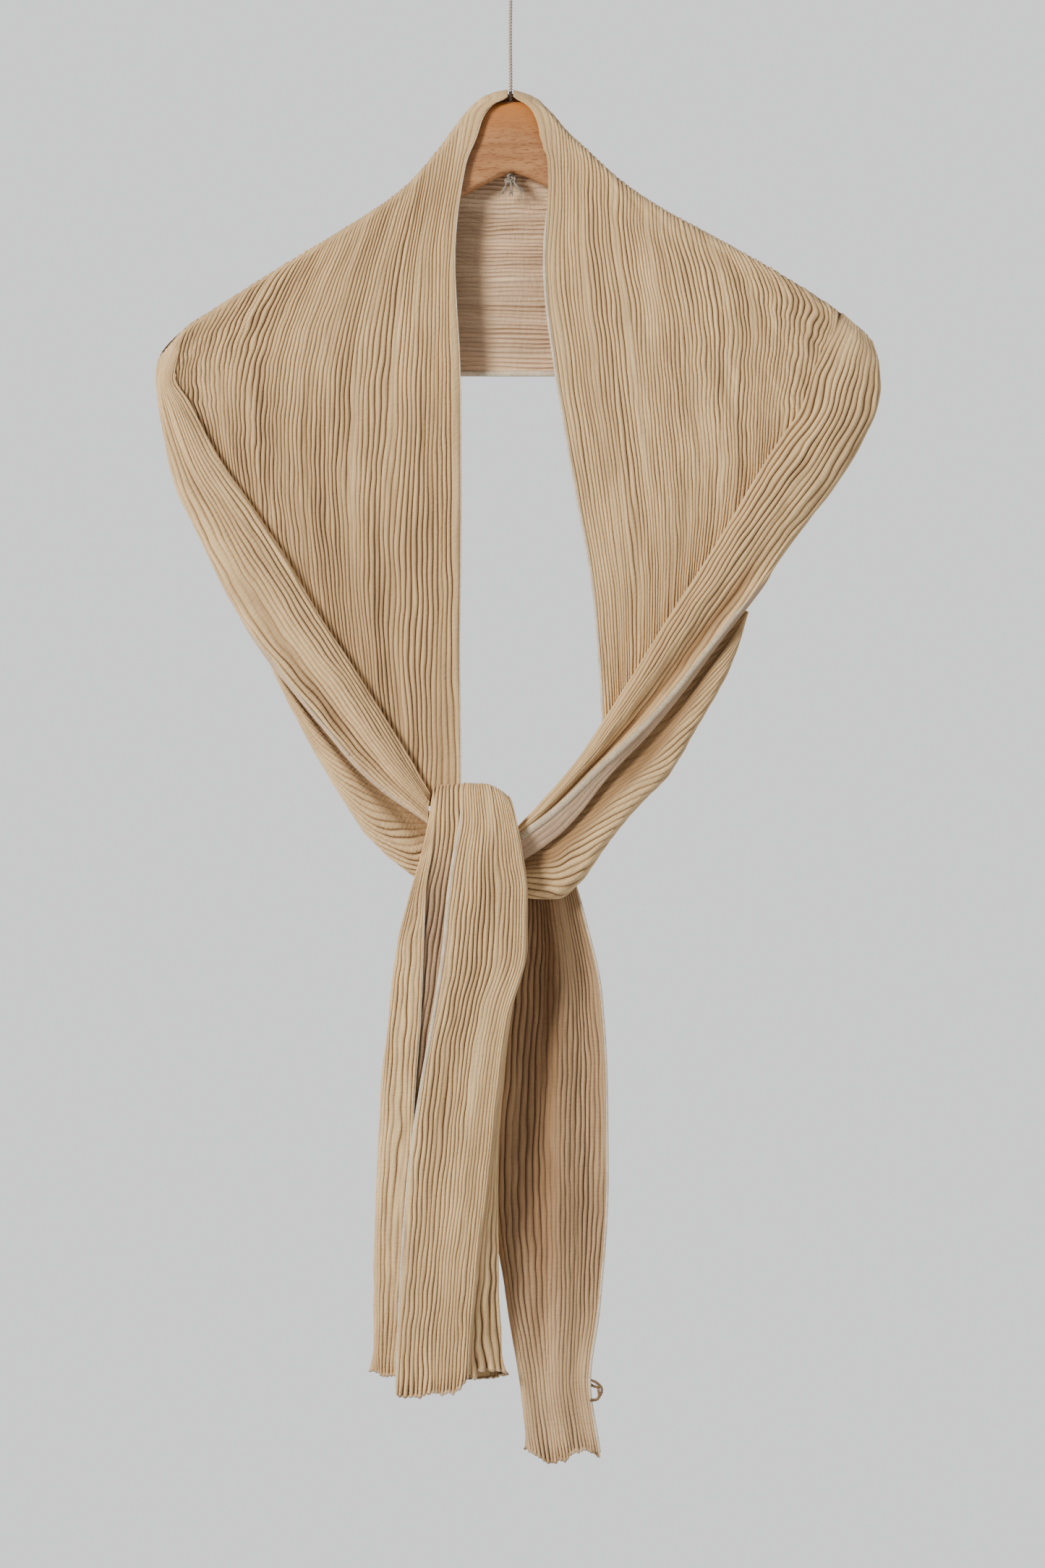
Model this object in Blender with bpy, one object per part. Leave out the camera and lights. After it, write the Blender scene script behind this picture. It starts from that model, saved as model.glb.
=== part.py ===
"""A finely pleated cotton scarf, tied in a half knot and hung over a wooden hanger.

Axes: +X to the viewer's right, +Y away from the viewer, +Z up. The origin is where a nail or a
hook holds the loop of twine. The tables are in millimetres: "across" is X, "drop" is the distance
below the origin, "depth" is Y (minus is towards the viewer) and "pleat" is the share of the
scarf's width counted from its inner edge. They become metres in place().
"""

import math

import bmesh
import bpy
import numpy as np

MM = 0.001

WALL = 1.2  # thickness of the cloth
PLEAT_HEIGHT = 1.9  # crest to valley of one pleat
SEAM_GAP = 0.35  # between two stretches of the same cloth

HANGER_THICK = 11.0
HANGER_ROUND = 4.6  # radius on the hanger's long edges
HANGER_TILT = math.radians(-1.3)  # the right arm hangs a little higher
HANGER_TOP = 83.3
HOLE_RADIUS = 2.6

TWINE_RADIUS = 1.25
LOOP_RADIUS = 5.5

WRAP = 8.9  # half the thickness of the fold over the hanger
PANEL_PLEATS = 34
BACK_PLEATS = 34
BAND_PLEATS = 12
STRAND_PLEATS = 10
FRONT_TAIL_PLEATS = 30
REAR_TAIL_PLEATS = 24

BEIGE = (0.60, 0.44, 0.27)
WOOD = (0.52, 0.25, 0.11)
CREAM = (0.66, 0.60, 0.50)


def table(columns, *rows):
    """A short table as a dict of its named columns."""
    return dict(zip(columns.split(), np.array(rows, float).T))


# The fold over the left and right arm of the hanger: pleats start here and fall to the front.
LEFT_RIDGE = table(
    "drop across pleat",
    (79.2, -1.7, 0.000),
    (82.3, -14.6, 0.030),
    (90.3, -25.3, 0.075),
    (104.4, -36.2, 0.130),
    (121.5, -49.9, 0.200),
    (139.0, -66.7, 0.300),
    (158.3, -94.9, 0.473),
    (185.2, -141.7, 0.720),
    (213.9, -187.3, 0.925),
    (226.0, -206, 1.000),
)
RIGHT_RIDGE = table(
    "drop across pleat",
    (79.2, 1.7, 0.000),
    (83.5, 14.5, 0.040),
    (94.7, 25.4, 0.080),
    (106.8, 36.0, 0.140),
    (119.0, 49.3, 0.225),
    (134.6, 67.8, 0.335),
    (151.9, 94.8, 0.490),
    (178.4, 141.9, 0.720),
    (204.6, 186.4, 0.895),
    (219.5, 208, 1.000),
)
# The edge beside the neck opening, from the top of the hanger down.
LEFT_INNER = table(
    "drop across",
    (79.2, -1.7),
    (85, -14),
    (93, -20),
    (103, -23.5),
    (121, -28),
    (142, -32),
    (167, -35.4),
    (195, -36),
    (227, -33),
    (257, -31.7),
    (365, -31.5),
    (434, -32.7),
    (470, -31.7),
)
RIGHT_INNER = table(
    "drop across",
    (79.2, 1.7),
    (86, 11),
    (94, 16.6),
    (103, 20),
    (112, 24),
    (139, 25),
    (172, 21),
    (190, 20),
    (218, 23.5),
    (257, 28.5),
    (296, 35.4),
    (342, 43),
    (388, 52.4),
    (443, 56.6),
    (470, 59),
)
# The panel's far edge below the shoulder: behind the band, then out below it.
LEFT_OUTER = table(
    "drop across",
    (227, -206),
    (241, -213),
    (255, -215.5),
    (270, -213.5),
    (296, -206.5),
    (319, -200),
    (342, -194),
    (365, -186),
    (388, -176),
    (411, -164),
    (434, -155.5),
    (470, -139),
)
RIGHT_OUTER = table(
    "drop across",
    (222, 208),
    (236, 204.5),
    (254, 197.5),
    (268, 193),
    (289, 190),
    (319, 186),
    (342, 179),
    (365, 168),
    (388, 156),
    (402, 154),
    (443, 140),
    (470, 128),
)

# Where the front panels end, out of sight behind the bands and the knot.
LEFT_END = table(
    "across drop",
    (-219, 248),
    (-213, 283),
    (-200, 316),
    (-180, 350),
    (-162, 380),
    (-141, 409.5),
    (-127, 428.5),
    (-112, 450.5),
    (-96, 472.5),
    (-80, 494.5),
    (-68, 510.5),
    (-59, 521),
    (-52, 524),
    (-49.6, 520),
    (-32, 519.4),
    (-30, 516.6),
    (-27, 516.6),
)
RIGHT_END = table(
    "across drop",
    (54, 492),
    (70, 471),
    (84, 451),
    (97, 432),
    (110, 413),
    (122, 395),
    (140, 384),
    (158, 359),
    (176, 331),
    (191, 309),
    (204, 287),
    (214, 266),
    (220, 248),
)
LEFT_PANEL = {
    "ridge": LEFT_RIDGE,
    "inner": LEFT_INNER,
    "outer": LEFT_OUTER,
    "end": LEFT_END,
    "crowding": 0.9,
}
RIGHT_PANEL = {
    "ridge": RIGHT_RIDGE,
    "inner": RIGHT_INNER,
    "outer": RIGHT_OUTER,
    "end": RIGHT_END,
    "crowding": 0.45,
}

# The band from each shoulder to the knot, a row for each section: its inner fold, its outer
# edge, the cloth beyond that edge, how far that cloth is rolled behind (1) or hangs free (0),
# the depth of its crown, the trough along it, and the depths of its tucked and its rolled edge.
BAND_COLUMNS = (
    "inner_across inner_drop edge_across edge_drop lip roll crown trough tuck_depth end_depth"
)
LEFT_BAND = table(
    BAND_COLUMNS,
    (-208, 224.6, -225, 247, 5, 1, -4, 0, -2, -1),
    (-206.8, 229.5, -226, 254, 6, 1, -13, 0, -11, -1),
    (-210, 242, -226, 261, 7, 1, -15, 0, -12.2, -1),
    (-212.5, 258, -225, 270, 8, 1, -17, 0, -12.2, 0),
    (-203, 276, -221, 293, 9, 1, -19, 0, -12.2, 0),
    (-187, 307, -214, 325, 10, 1, -20.5, 0.5, -12.2, 0),
    (-164, 341, -197, 362, 10, 1, -21.5, 1, -12.2, -3),
    (-145, 370, -179, 396, 6, 0.6, -22, 2, -12.2, -7),
    (-122.5, 409, -155, 432, 3, 0, -22, 3, -12.2, -10),
    (-104, 437, -135, 458, 3, 0, -22, 4.5, -12.2, -10),
    (-85.5, 466, -112, 486, 3, 0, -21.5, 6, -12.2, -10),
    (-67, 496, -88.5, 512, 3, 0, -20.5, 5, -12.2, -10),
    (-51, 523.5, -52.2, 541, 1, 0, -18, 1, -12.6, -10),
)
RIGHT_BAND = table(
    BAND_COLUMNS,
    (211, 218, 232, 246, 5, 1, -4, 0, -2, -1),
    (206.8, 224, 234.5, 255, 6, 1, -13.4, 0, -11.4, -1),
    (199, 239, 235, 265, 7, 1, -15, 0, -12.2, -1),
    (192, 255, 233, 278, 8, 1, -17, 0, -12.2, 0),
    (184, 279, 224.5, 297, 9, 1, -19, 0, -12.2, 0),
    (170, 300, 212, 319, 10, 1, -20.5, 0.5, -12.2, 0),
    (158, 319, 194.5, 343, 10, 1, -21.5, 1.5, -12.2, -3),
    (140, 349, 176, 371, 8, 0.7, -22, 2.5, -12.2, -7),
    (121.5, 379, 156, 399.5, 4, 0, -22, 4, -12.2, -10),
    (100.5, 411, 128, 428, 6, 0, -22, 5, -12.2, -10),
    (82, 441, 106, 456, 8, 0, -22, 5, -12.2, -10),
    (63, 470, 83, 482, 10, 0, -21.5, 5, -12.2, -10),
    (43, 500.5, 55, 508, 13, 0, -21, 4, -12.2, -10),
    (19, 529, 26, 536, 15.5, 0, -20, 2.5, -12.2, -10),
    (2.5, 546.5, 3.5, 552, 14.5, 0, -19, 1, -12.2, -10),
)
# The inner pleats below the band, drawn round to the knot: the hidden edge that meets the front
# panel, the outline, how much of the width the band covers, the depth of the crown and of the
# edge rolled behind, and how far that edge is rolled.
STRAND_COLUMNS = "hidden_across hidden_drop edge_across edge_drop cover crown end_depth back"
LEFT_STRAND = table(
    STRAND_COLUMNS,
    (-140, 412, -156, 432, 0.97, -11.7, -6, 3),
    (-127, 430, -148, 450, 0.91, -12.5, -4, 5),
    (-112, 452, -137, 471.5, 0.78, -15.5, -1, 8),
    (-96, 474, -124, 497, 0.64, -17, 1, 12),
    (-80, 496, -107, 525, 0.51, -17.5, 2, 15),
    (-68, 512, -92.5, 547, 0.4, -17.5, 2, 18),
    (-58, 526, -75, 565, 0.3, -16, 1, 20),
    (-50, 536, -58, 577, 0.18, -15, 0, 20),
    (-44.5, 541, -46, 580, 0.1, -14, -2, 18),
)
RIGHT_STRAND = table(
    STRAND_COLUMNS,
    (122, 397, 151, 408, 0.97, -11.7, -6, 3),
    (110, 415, 145, 432, 0.77, -13.5, -4, 5),
    (97, 434, 134, 456, 0.67, -16, -1, 8),
    (84, 453, 116, 485, 0.62, -17, 1, 12),
    (70, 473, 98, 509, 0.58, -17.5, 2, 15),
    (54, 495, 78, 533, 0.52, -17.5, 2, 18),
    (36, 517, 57, 560, 0.46, -17, 2, 20),
    (26, 527, 44, 578, 0.42, -17, 2, 20),
    (15, 538, 27, 589, 0.42, -16.5, 1, 20),
    (2.5, 548, 5, 589.5, 0.46, -16, -1, 18),
)

# The end that falls over the front of the knot: an open tube of cloth, a row for each section.
# "selvedge" and "flap" are its two free edges, on either side of the slit in front.
FRONT_TAIL = table(
    "drop depth thick selvedge right side left flap",
    (592, 10, 5, -24, 0, 0, -46, -27),
    (560, 16.5, 5, -26, 2, 2, -49, -28),
    (532, 14, 5, -28, -1, -1, -49.5, -29),
    (522.5, 0, 5, -30, -3, -3, -49, -29),
    (516.5, -14, 5.5, -31, -1, -1, -49, -30),
    (521, -22, 6, -32, 1, 1, -49.5, -30),
    (537, -28, 6, -33, 4, 4, -51.5, -32),
    (558, -31, 6.5, -35.5, 7, 7, -55.5, -38),
    (585, -32, 8, -38.5, 10.5, 10.5, -63, -48.5),
    (618, -31, 10, -42, 10.5, 10, -71, -53.5),
    (664, -29, 12, -48.5, -1, 0, -76.5, -56),
    (710, -27, 14, -56.5, -7.5, -5, -81, -60),
    (756, -26, 15, -63.5, -12, -8, -83.5, -62.5),
    (825, -24.5, 16.5, -69, -21, -8, -85, -67.5),
    (893, -23, 18, -72, -26, -5, -85.5, -70),
)
FLAP_ROUND = (0, 0, 0.5, 1, 1, 0.8, 0.3, 0, 0, 0, 0, 0, 0, 0, 0)  # how far its corners drop
# The end that hangs behind it: one fold on the left, free edges on the right.
REAR_TAIL = table(
    "drop depth left right fold_depth back_right",
    (572, 3.6, 5, 37, 2, 29),
    (600, 2.8, 4, 44, 5, 36),
    (650, 1, -3, 57.5, 7, 46),
    (710, 0, -8, 61, 7, 50),
    (770, -1, -10, 61.5, 6, 51),
    (848, -1, -2, 54.5, 4, 47),
    (898, -1, 6, 49.5, 3, 47),
    (944, -1, 11, 57, 2, 48),
)


def smooth(at, keys, values):
    """A curve through the given points that doesn't swing past any of them."""
    at, keys, values = (np.asarray(a, float) for a in (at, keys, values))
    step = np.diff(keys)
    slope = np.diff(values) / step
    before, after = slope[:-1], slope[1:]
    same_way = before * after > 0
    total = np.where(same_way, before + after, 1.0)
    inside = np.where(same_way, 2 * before * after / total, 0.0)
    tangent = np.concatenate([slope[:1], inside, slope[-1:]])
    i = np.clip(np.searchsorted(keys, at, side="right") - 1, 0, len(step) - 1)
    s = np.clip((at - keys[i]) / step[i], 0, 1)
    s2, s3 = s * s, s * s * s
    return (
        (2 * s3 - 3 * s2 + 1) * values[i]
        + (s3 - 2 * s2 + s) * step[i] * tangent[i]
        + (3 * s2 - 2 * s3) * values[i + 1]
        + (s3 - s2) * step[i] * tangent[i + 1]
    )


def material(name, colour, roughness):
    made = bpy.data.materials.new(name)
    made.use_nodes = True
    shader = made.node_tree.nodes["Principled BSDF"]
    shader.inputs["Base Color"].default_value = (*colour, 1)
    shader.inputs["Roughness"].default_value = roughness
    shader.inputs["Metallic"].default_value = 0
    return made


def place(across, depth, drop):
    """Points in metres from millimetres across, in depth and below the origin."""
    return np.stack(np.broadcast_arrays(across, depth, -np.asarray(drop)), axis=-1) * MM


def add_mesh(name, points, faces, surface):
    mesh = bpy.data.meshes.new(name)
    mesh.from_pydata([tuple(p) for p in points], [], faces)
    mesh.update()
    made = bpy.data.objects.new(name, mesh)
    bpy.context.scene.collection.objects.link(made)
    made.data.materials.append(surface)
    return made


def normals(middle):
    """The unit normal at each point of a grid of rows and columns."""
    across = np.gradient(middle, axis=1)
    along = np.gradient(middle, axis=0)
    found = np.cross(across, along)
    return found / np.maximum(np.linalg.norm(found, axis=2, keepdims=True), 1e-12)


def grid_faces(rows, columns, offset, flip):
    faces = []
    for i in range(rows - 1):
        for j in range(columns - 1):
            a = offset + i * columns + j
            quad = (a, a + 1, a + columns + 1, a + columns)
            faces.append(quad[::-1] if flip else quad)
    return faces


def cloth(name, middle, height, surface):
    """A closed wall round a grid of points. Its columns are the crests and valleys of pleats."""
    rows, columns = middle.shape[:2]
    normal = normals(middle)
    wave = np.where(np.arange(columns) % 2 == 1, 0.5, -0.5)
    lift = (wave * np.broadcast_to(height, (rows, columns)) * MM)[..., None]
    half = WALL * MM / 2
    front = middle + normal * (lift + half)
    back = middle + normal * (lift - half)
    points = np.concatenate([front.reshape(-1, 3), back.reshape(-1, 3)])
    count = rows * columns
    faces = grid_faces(rows, columns, 0, True) + grid_faces(rows, columns, count, False)
    rim = [j for j in range(columns)]
    rim += [i * columns + columns - 1 for i in range(1, rows)]
    rim += [(rows - 1) * columns + j for j in range(columns - 2, -1, -1)]
    rim += [i * columns for i in range(rows - 2, 0, -1)]
    for a, b in zip(rim, rim[1:] + rim[:1]):
        faces.append((a, b, b + count, a + count))
    made = add_mesh(name, points, faces, surface)
    work = bmesh.new()
    work.from_mesh(made.data)
    bmesh.ops.recalc_face_normals(work, faces=work.faces)
    work.to_mesh(made.data)
    work.free()
    return made


def fading(share, width):
    """0 at the two ends of a span and 1 in between."""
    return np.clip(np.minimum(share, 1 - share) / width, 0, 1)


def panel_across(panel, pleat, drop):
    """Where a pleat of a front panel lies at a given drop."""
    ridge, inner, outer = panel["ridge"], panel["inner"], panel["outer"]
    start = ridge["drop"][-1]
    near = smooth(drop, inner["drop"], inner["across"])
    on_ridge = drop < start
    far = np.where(
        on_ridge,
        smooth(drop, ridge["drop"], ridge["across"]),
        smooth(drop, outer["drop"], outer["across"]),
    )
    reached = np.maximum(smooth(drop, ridge["drop"], ridge["pleat"]), 1e-6)
    low = np.clip((drop - start) / 240, 0, 1)
    power = 1 + panel["crowding"] * low**1.5
    share = np.where(
        on_ridge, np.minimum(pleat / reached, 1), 1 - (1 - pleat) ** power
    )
    return near + share * (far - near)


def panel_end(panel, pleat):
    """The drop at which each pleat reaches the line where the panel ends."""
    end = panel["end"]
    drop = np.full_like(pleat, 400.0)
    for _ in range(80):
        across = panel_across(panel, pleat, drop)
        drop = drop + 0.35 * (np.interp(across, end["across"], end["drop"]) - drop)
    return drop


WRAP_ANGLES = (3, 42, 90)  # degrees round the hanger's top edge
PANEL_SHARES = (0.25, 0.5, 0.75, 1.0)
LAPEL_ROLL = 2.2


def front_panel(name, panel, surface):
    """One front: from the fold over the hanger down to the knot, its pleats side by side."""
    pleat = np.linspace(0, 1, 2 * PANEL_PLEATS + 1)
    ridge = panel["ridge"]
    top_across = smooth(pleat, ridge["pleat"], ridge["across"])
    top_drop = smooth(pleat, ridge["pleat"], ridge["drop"])
    rows, heights = [], []
    for angle in map(math.radians, WRAP_ANGLES):
        drop = top_drop + WRAP * (1 - math.cos(angle)) * 0.9
        across = panel_across(panel, pleat, drop)
        across = top_across + (across - top_across) * math.sin(angle) ** 2
        rows.append(place(across, -WRAP * math.sin(angle), drop))
        heights.append(0.55 + 0.45 * math.sin(angle))
    first = top_drop + WRAP * 0.9
    last = panel_end(panel, pleat)
    for share in PANEL_SHARES:
        drop = first + share * (last - first)
        across = panel_across(panel, pleat, drop)
        lapel = LAPEL_ROLL * np.exp(-pleat / 0.05) * math.sin(math.pi * share)
        depth = -WRAP - 0.8 * math.sin(math.pi * share) - lapel
        rows.append(place(across, depth, drop))
        heights.append(1.0)
    edge = 0.25 + 0.75 * fading(pleat, 0.02)
    height = PLEAT_HEIGHT * np.array(heights)[:, None] * edge
    return cloth(name, np.array(rows), height, surface)


BACK_SHARES = (0, 0.03, 0.09, 0.5, 0.91, 0.97, 1)
BACK_BOTTOM = 255.0
BACK_TOP = 82.5


def back_panel(name, surface):
    """The stretch behind the hanger, its pleats level from shoulder to shoulder."""
    drop = np.linspace(BACK_TOP, BACK_BOTTOM, 2 * BACK_PLEATS + 1)
    ends = []
    for ridge, outer in ((LEFT_RIDGE, LEFT_BAND), (RIGHT_RIDGE, RIGHT_BAND)):
        sign = math.copysign(1, ridge["across"][-1])
        keys = np.append(ridge["drop"], outer["edge_drop"][:2])
        values = np.append(ridge["across"], outer["edge_across"][:2] - sign)
        ends.append(smooth(drop, keys, values))
    rows = []
    for share in BACK_SHARES:
        across = ends[0] + share * (ends[1] - ends[0])
        inward = np.minimum(across - ends[0], ends[1] - across)
        turn = np.clip((inward + 0.6) / 10, 0, 1)
        depth = WRAP * np.sqrt(1 - (1 - turn) ** 2)
        low = np.clip((drop - 150) / 107, 0, 1)
        depth = np.maximum(depth, 2.2) + 1.5 * low * np.sin(math.pi * share)
        rows.append(place(across, depth, drop))
    pleat = np.linspace(0, 1, len(drop))
    ends_low = fading(np.array(BACK_SHARES), 0.06)[:, None] * 0.5 + 0.5
    height = PLEAT_HEIGHT * ends_low * (0.3 + 0.7 * fading(pleat, 0.02))
    return cloth(name, np.array(rows)[:, ::-1], height, surface)


def band_section(share, row, width):
    """(along, depth) of a band's section, from the cloth tucked under its inner fold to its lip."""
    crown, lip, roll, end = (row[k] for k in ("crown", "lip", "roll", "end_depth"))
    keys = (0, 0.05, 0.09, 0.14, 0.36, 0.60, 0.80, 0.90, 1)
    tuck = row["tuck_depth"]
    fold = min(crown + 4.2, tuck - 1)
    tucked = min(6, width * 0.3)
    along_free = (tucked, 1, -0.4, 1.6, 0.34 * width, 0.66 * width, width)
    along_free += (width + 0.5 * lip, width + lip)
    depth_free = (tuck, tuck - 0.3, 0.5 * (tuck + fold), fold, crown, crown + row["trough"])
    depth_free += (crown + 1.2, crown + 2.5, crown + 4.5)
    along_rolled = (tucked, 1, -0.4, 1.6, 0.34 * width, 0.66 * width)
    along_rolled += (width - 1.2, width - 0.6, width - lip)
    depth_rolled = depth_free[:5] + (crown + 1.2, crown + 0.45 * (end - crown))
    depth_rolled += (crown + 0.8 * (end - crown), end)
    along = np.array(along_free) * (1 - roll) + np.array(along_rolled) * roll
    depth = np.array(depth_free) * (1 - roll) + np.array(depth_rolled) * roll
    return smooth(share, keys, along), smooth(share, keys, depth)


def strand_section(share, row, width):
    """(along, depth) of a strand's section, from its hidden edge over its crown and behind."""
    crown, end = row["crown"], row["end_depth"]
    cover = row["cover"] * width
    left = width - cover
    keys = (0, 0.14, 0.28, 0.42, 0.62, 0.74, 0.84, 1)
    along = (0, 0.5 * cover, cover, cover + 0.3 * left, cover + 0.8 * left, width - 0.6)
    along += (width - 2, width - 2 - row["back"])
    depth = (-9.5, -10.6, -11.7, crown + 0.5, crown + 1, 0.5 * (crown + end), end - 1.5, end)
    return smooth(share, keys, along), smooth(share, keys, depth)


def sections_cloth(name, rows_of, section, ends, pleats, height, surface, mirrored):
    """Cloth through one section after another; each lies between two named points."""
    share = np.linspace(0, 1, 2 * pleats + 1)
    rows = []
    for i in range(len(rows_of["crown"])):
        row = {key: column[i] for key, column in rows_of.items()}
        start = np.array([row[ends[0] + "_across"], row[ends[0] + "_drop"]])
        end = np.array([row[ends[1] + "_across"], row[ends[1] + "_drop"]])
        width = np.linalg.norm(end - start)
        direction = (end - start) / width
        along, depth = section(share, row, width)
        across = start[0] + along * direction[0]
        rows.append(place(across, depth, start[1] + along * direction[1]))
    middle = np.array(rows)
    lift = PLEAT_HEIGHT * height(share)
    if mirrored:
        middle, lift = middle[:, ::-1], lift[::-1]
    return cloth(name, middle, lift, surface)


def band_height(share):
    tucked = np.clip((share - 0.1) / 0.08, 0.1, 1)
    return 0.8 * tucked * np.clip((1 - share) / 0.06, 0.3, 1)


def strand_height(share):
    return 0.75 * (0.3 + 0.7 * fading(share, 0.08))


def band(name, rows_of, surface, mirrored):
    """The outermost pleats, drawn from the shoulder across the front to the knot."""
    ends = ("inner", "edge")
    sections_cloth(
        name, rows_of, band_section, ends, BAND_PLEATS, band_height, surface, mirrored
    )


def strand(name, rows_of, surface, mirrored):
    """The inner pleats that show below a band."""
    ends = ("hidden", "edge")
    sections_cloth(
        name, rows_of, strand_section, ends, STRAND_PLEATS, strand_height, surface, mirrored
    )


def front_tail_section(share, row):
    """(across, inward) of the tube of cloth: slit edge, front, right side, back, left flap."""
    thick, left, right, side = (row[k] for k in ("thick", "left", "right", "side"))
    round_off = 0.22 * thick
    keys = (0, 0.36, 0.40, 0.50, 0.54, 0.86, 0.90, 1)
    across = (row["selvedge"], right - 2, right, side, side - 2, left + 2)
    across += (left, row["flap"])
    inward = (0.2, 0, round_off, thick - round_off, thick, thick * 0.95)
    inward += (thick * 0.72, thick * 0.52)
    return smooth(share, keys, across), smooth(share, keys, inward)


def path_normals(drop, depth):
    """Which way is outward (depth, drop) at each point of a path seen from the side."""
    slope_drop, slope_depth = np.gradient(drop), np.gradient(depth)
    length = np.hypot(slope_drop, slope_depth)
    return -slope_drop / length, slope_depth / length


def front_tail(name, surface):
    """The end that comes up behind the knot, over its top and down the front."""
    share = np.linspace(0, 1, 2 * FRONT_TAIL_PLEATS + 1)
    out_depth, out_drop = path_normals(FRONT_TAIL["drop"], FRONT_TAIL["depth"])
    rows = []
    for i in range(len(out_depth)):
        row = {key: column[i] for key, column in FRONT_TAIL.items()}
        across, inward = front_tail_section(share, row)
        depth = row["depth"] - inward * out_depth[i]
        drop = row["drop"] - inward * out_drop[i]
        corner = 8 * np.clip((across + 19) / 21, 0, 1.2) ** 2
        corner = corner + np.clip((-27 - across) / 22, 0, 1)
        drop = drop + FLAP_ROUND[i] * corner
        if i == len(out_depth) - 1:
            in_front = np.clip((0.42 - share) / 0.05, 0, 1)
            drop = drop + 11 * in_front
        rows.append(place(across, depth, drop))
    flat = 0.3 + 0.7 * fading(share, 0.02)
    narrow = smooth(np.arange(len(rows)), (0, 7, len(rows) - 1), (0.45, 0.7, 1.1))
    return cloth(name, np.array(rows), PLEAT_HEIGHT * narrow[:, None] * flat, surface)


def rear_tail(name, surface):
    """The other end: two layers joined by a fold on the left."""
    share = np.linspace(0, 1, 2 * REAR_TAIL_PLEATS + 1)
    rows = []
    for i in range(len(REAR_TAIL["drop"])):
        row = {key: column[i] for key, column in REAR_TAIL.items()}
        keys = (0, 0.1, 0.24, 0.34, 0.48, 0.52, 0.56, 0.78, 1)
        width = row["right"] - row["left"]
        fold = row["fold_depth"]
        across = (row["right"], row["right"] - 0.18 * width, row["right"] - 0.42 * width)
        across += (row["right"] - 0.6 * width, row["left"] + 2, row["left"])
        across += (row["left"] + 2, row["left"] + 0.5 * width, row["back_right"])
        depth = (1, fold * 0.7, 0, fold, 1.5, 4.5, 8.5, 10.5, 9.5)
        across, depth = smooth(share, keys, across), smooth(share, keys, depth)
        drop = np.full_like(share, row["drop"])
        rows.append(place(across, row["depth"] + depth, drop))
    flat = 0.3 + 0.7 * fading(share, 0.02)
    return cloth(name, np.array(rows)[:, ::-1], PLEAT_HEIGHT * 0.9 * flat, surface)


def rounded(name, centre, radii, rings, sides, power, surface):
    """A closed rounded solid from a turned profile."""
    points = [place(centre[0], centre[1], centre[2] - radii[2])]
    for i in range(1, rings):
        angle = math.pi * i / rings
        ring = math.sin(angle) ** power
        for j in range(sides):
            turn = 2 * math.pi * j / sides
            points.append(
                place(
                    centre[0] + radii[0] * ring * math.cos(turn),
                    centre[1] + radii[1] * ring * math.sin(turn),
                    centre[2] - radii[2] * math.cos(angle),
                )
            )
    points.append(place(centre[0], centre[1], centre[2] + radii[2]))
    last = len(points) - 1
    faces = []
    for j in range(sides):
        k = (j + 1) % sides
        faces.append((0, 1 + j, 1 + k))
        faces.append((last, last - sides + k, last - sides + j))
        for i in range(rings - 2):
            a = 1 + i * sides
            faces.append((a + j, a + sides + j, a + sides + k, a + k))
    return add_mesh(name, points, faces, surface)


HANGER_OUTLINE = table(
    "across top bottom",
    (0, 0, 45),
    (9, 0.6, 48),
    (15, 3.6, 50.8),
    (21, 10.4, 54),
    (30, 22.6, 58.5),
    (42, 35.6, 64),
    (56, 47.5, 71),
    (72, 61.5, 80),
    (95, 76, 93.5),
    (141, 101.5, 119),
    (180, 125.5, 141.5),
    (196, 136.5, 149),
    (200, 141, 145),
)


def hanger(name, surface):
    """The wooden shoulder piece, with a hole down through its middle for the twine."""
    across, top, bottom = (HANGER_OUTLINE[k] for k in ("across", "top", "bottom"))
    outline = [(x, -t) for x, t in zip(across, top)]
    outline += [(x, -b) for x, b in zip(across[::-1], bottom[::-1])]
    outline += [(-x, -b) for x, b in zip(across[1:], bottom[1:])]
    outline += [(-x, -t) for x, t in zip(across[:0:-1], top[:0:-1])]
    work = bmesh.new()
    half = HANGER_THICK / 2
    corners = [work.verts.new((x * MM, -half * MM, z * MM)) for x, z in outline]
    face = work.faces.new(corners)
    grown = bmesh.ops.extrude_face_region(work, geom=[face])
    moved = [g for g in grown["geom"] if isinstance(g, bmesh.types.BMVert)]
    bmesh.ops.translate(work, verts=moved, vec=(0, HANGER_THICK * MM, 0))
    bmesh.ops.recalc_face_normals(work, faces=work.faces)
    long_edges = [
        e for e in work.edges if abs(e.verts[0].co.y - e.verts[1].co.y) < HANGER_THICK * MM / 2
    ]
    bmesh.ops.bevel(
        work, geom=long_edges, offset=HANGER_ROUND * MM, segments=2, profile=0.5,
        affect="EDGES", clamp_overlap=True,
    )
    bmesh.ops.remove_doubles(work, verts=work.verts, dist=1e-5)
    mesh = bpy.data.meshes.new(name)
    work.to_mesh(mesh)
    work.free()
    made = bpy.data.objects.new(name, mesh)
    bpy.context.scene.collection.objects.link(made)
    made.data.materials.append(surface)
    made.location.z = -HANGER_TOP * MM
    made.rotation_euler.y = HANGER_TILT
    bpy.ops.mesh.primitive_cylinder_add(
        vertices=16, radius=HOLE_RADIUS * MM, depth=0.12, location=(0, 0, -0.11)
    )
    drill = bpy.context.object
    drill.name = "hole_cutter"
    drill.hide_render = True
    drill.display_type = "WIRE"
    hole = made.modifiers.new("hole", "BOOLEAN")
    hole.operation = "DIFFERENCE"
    hole.object = drill
    return made


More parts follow.
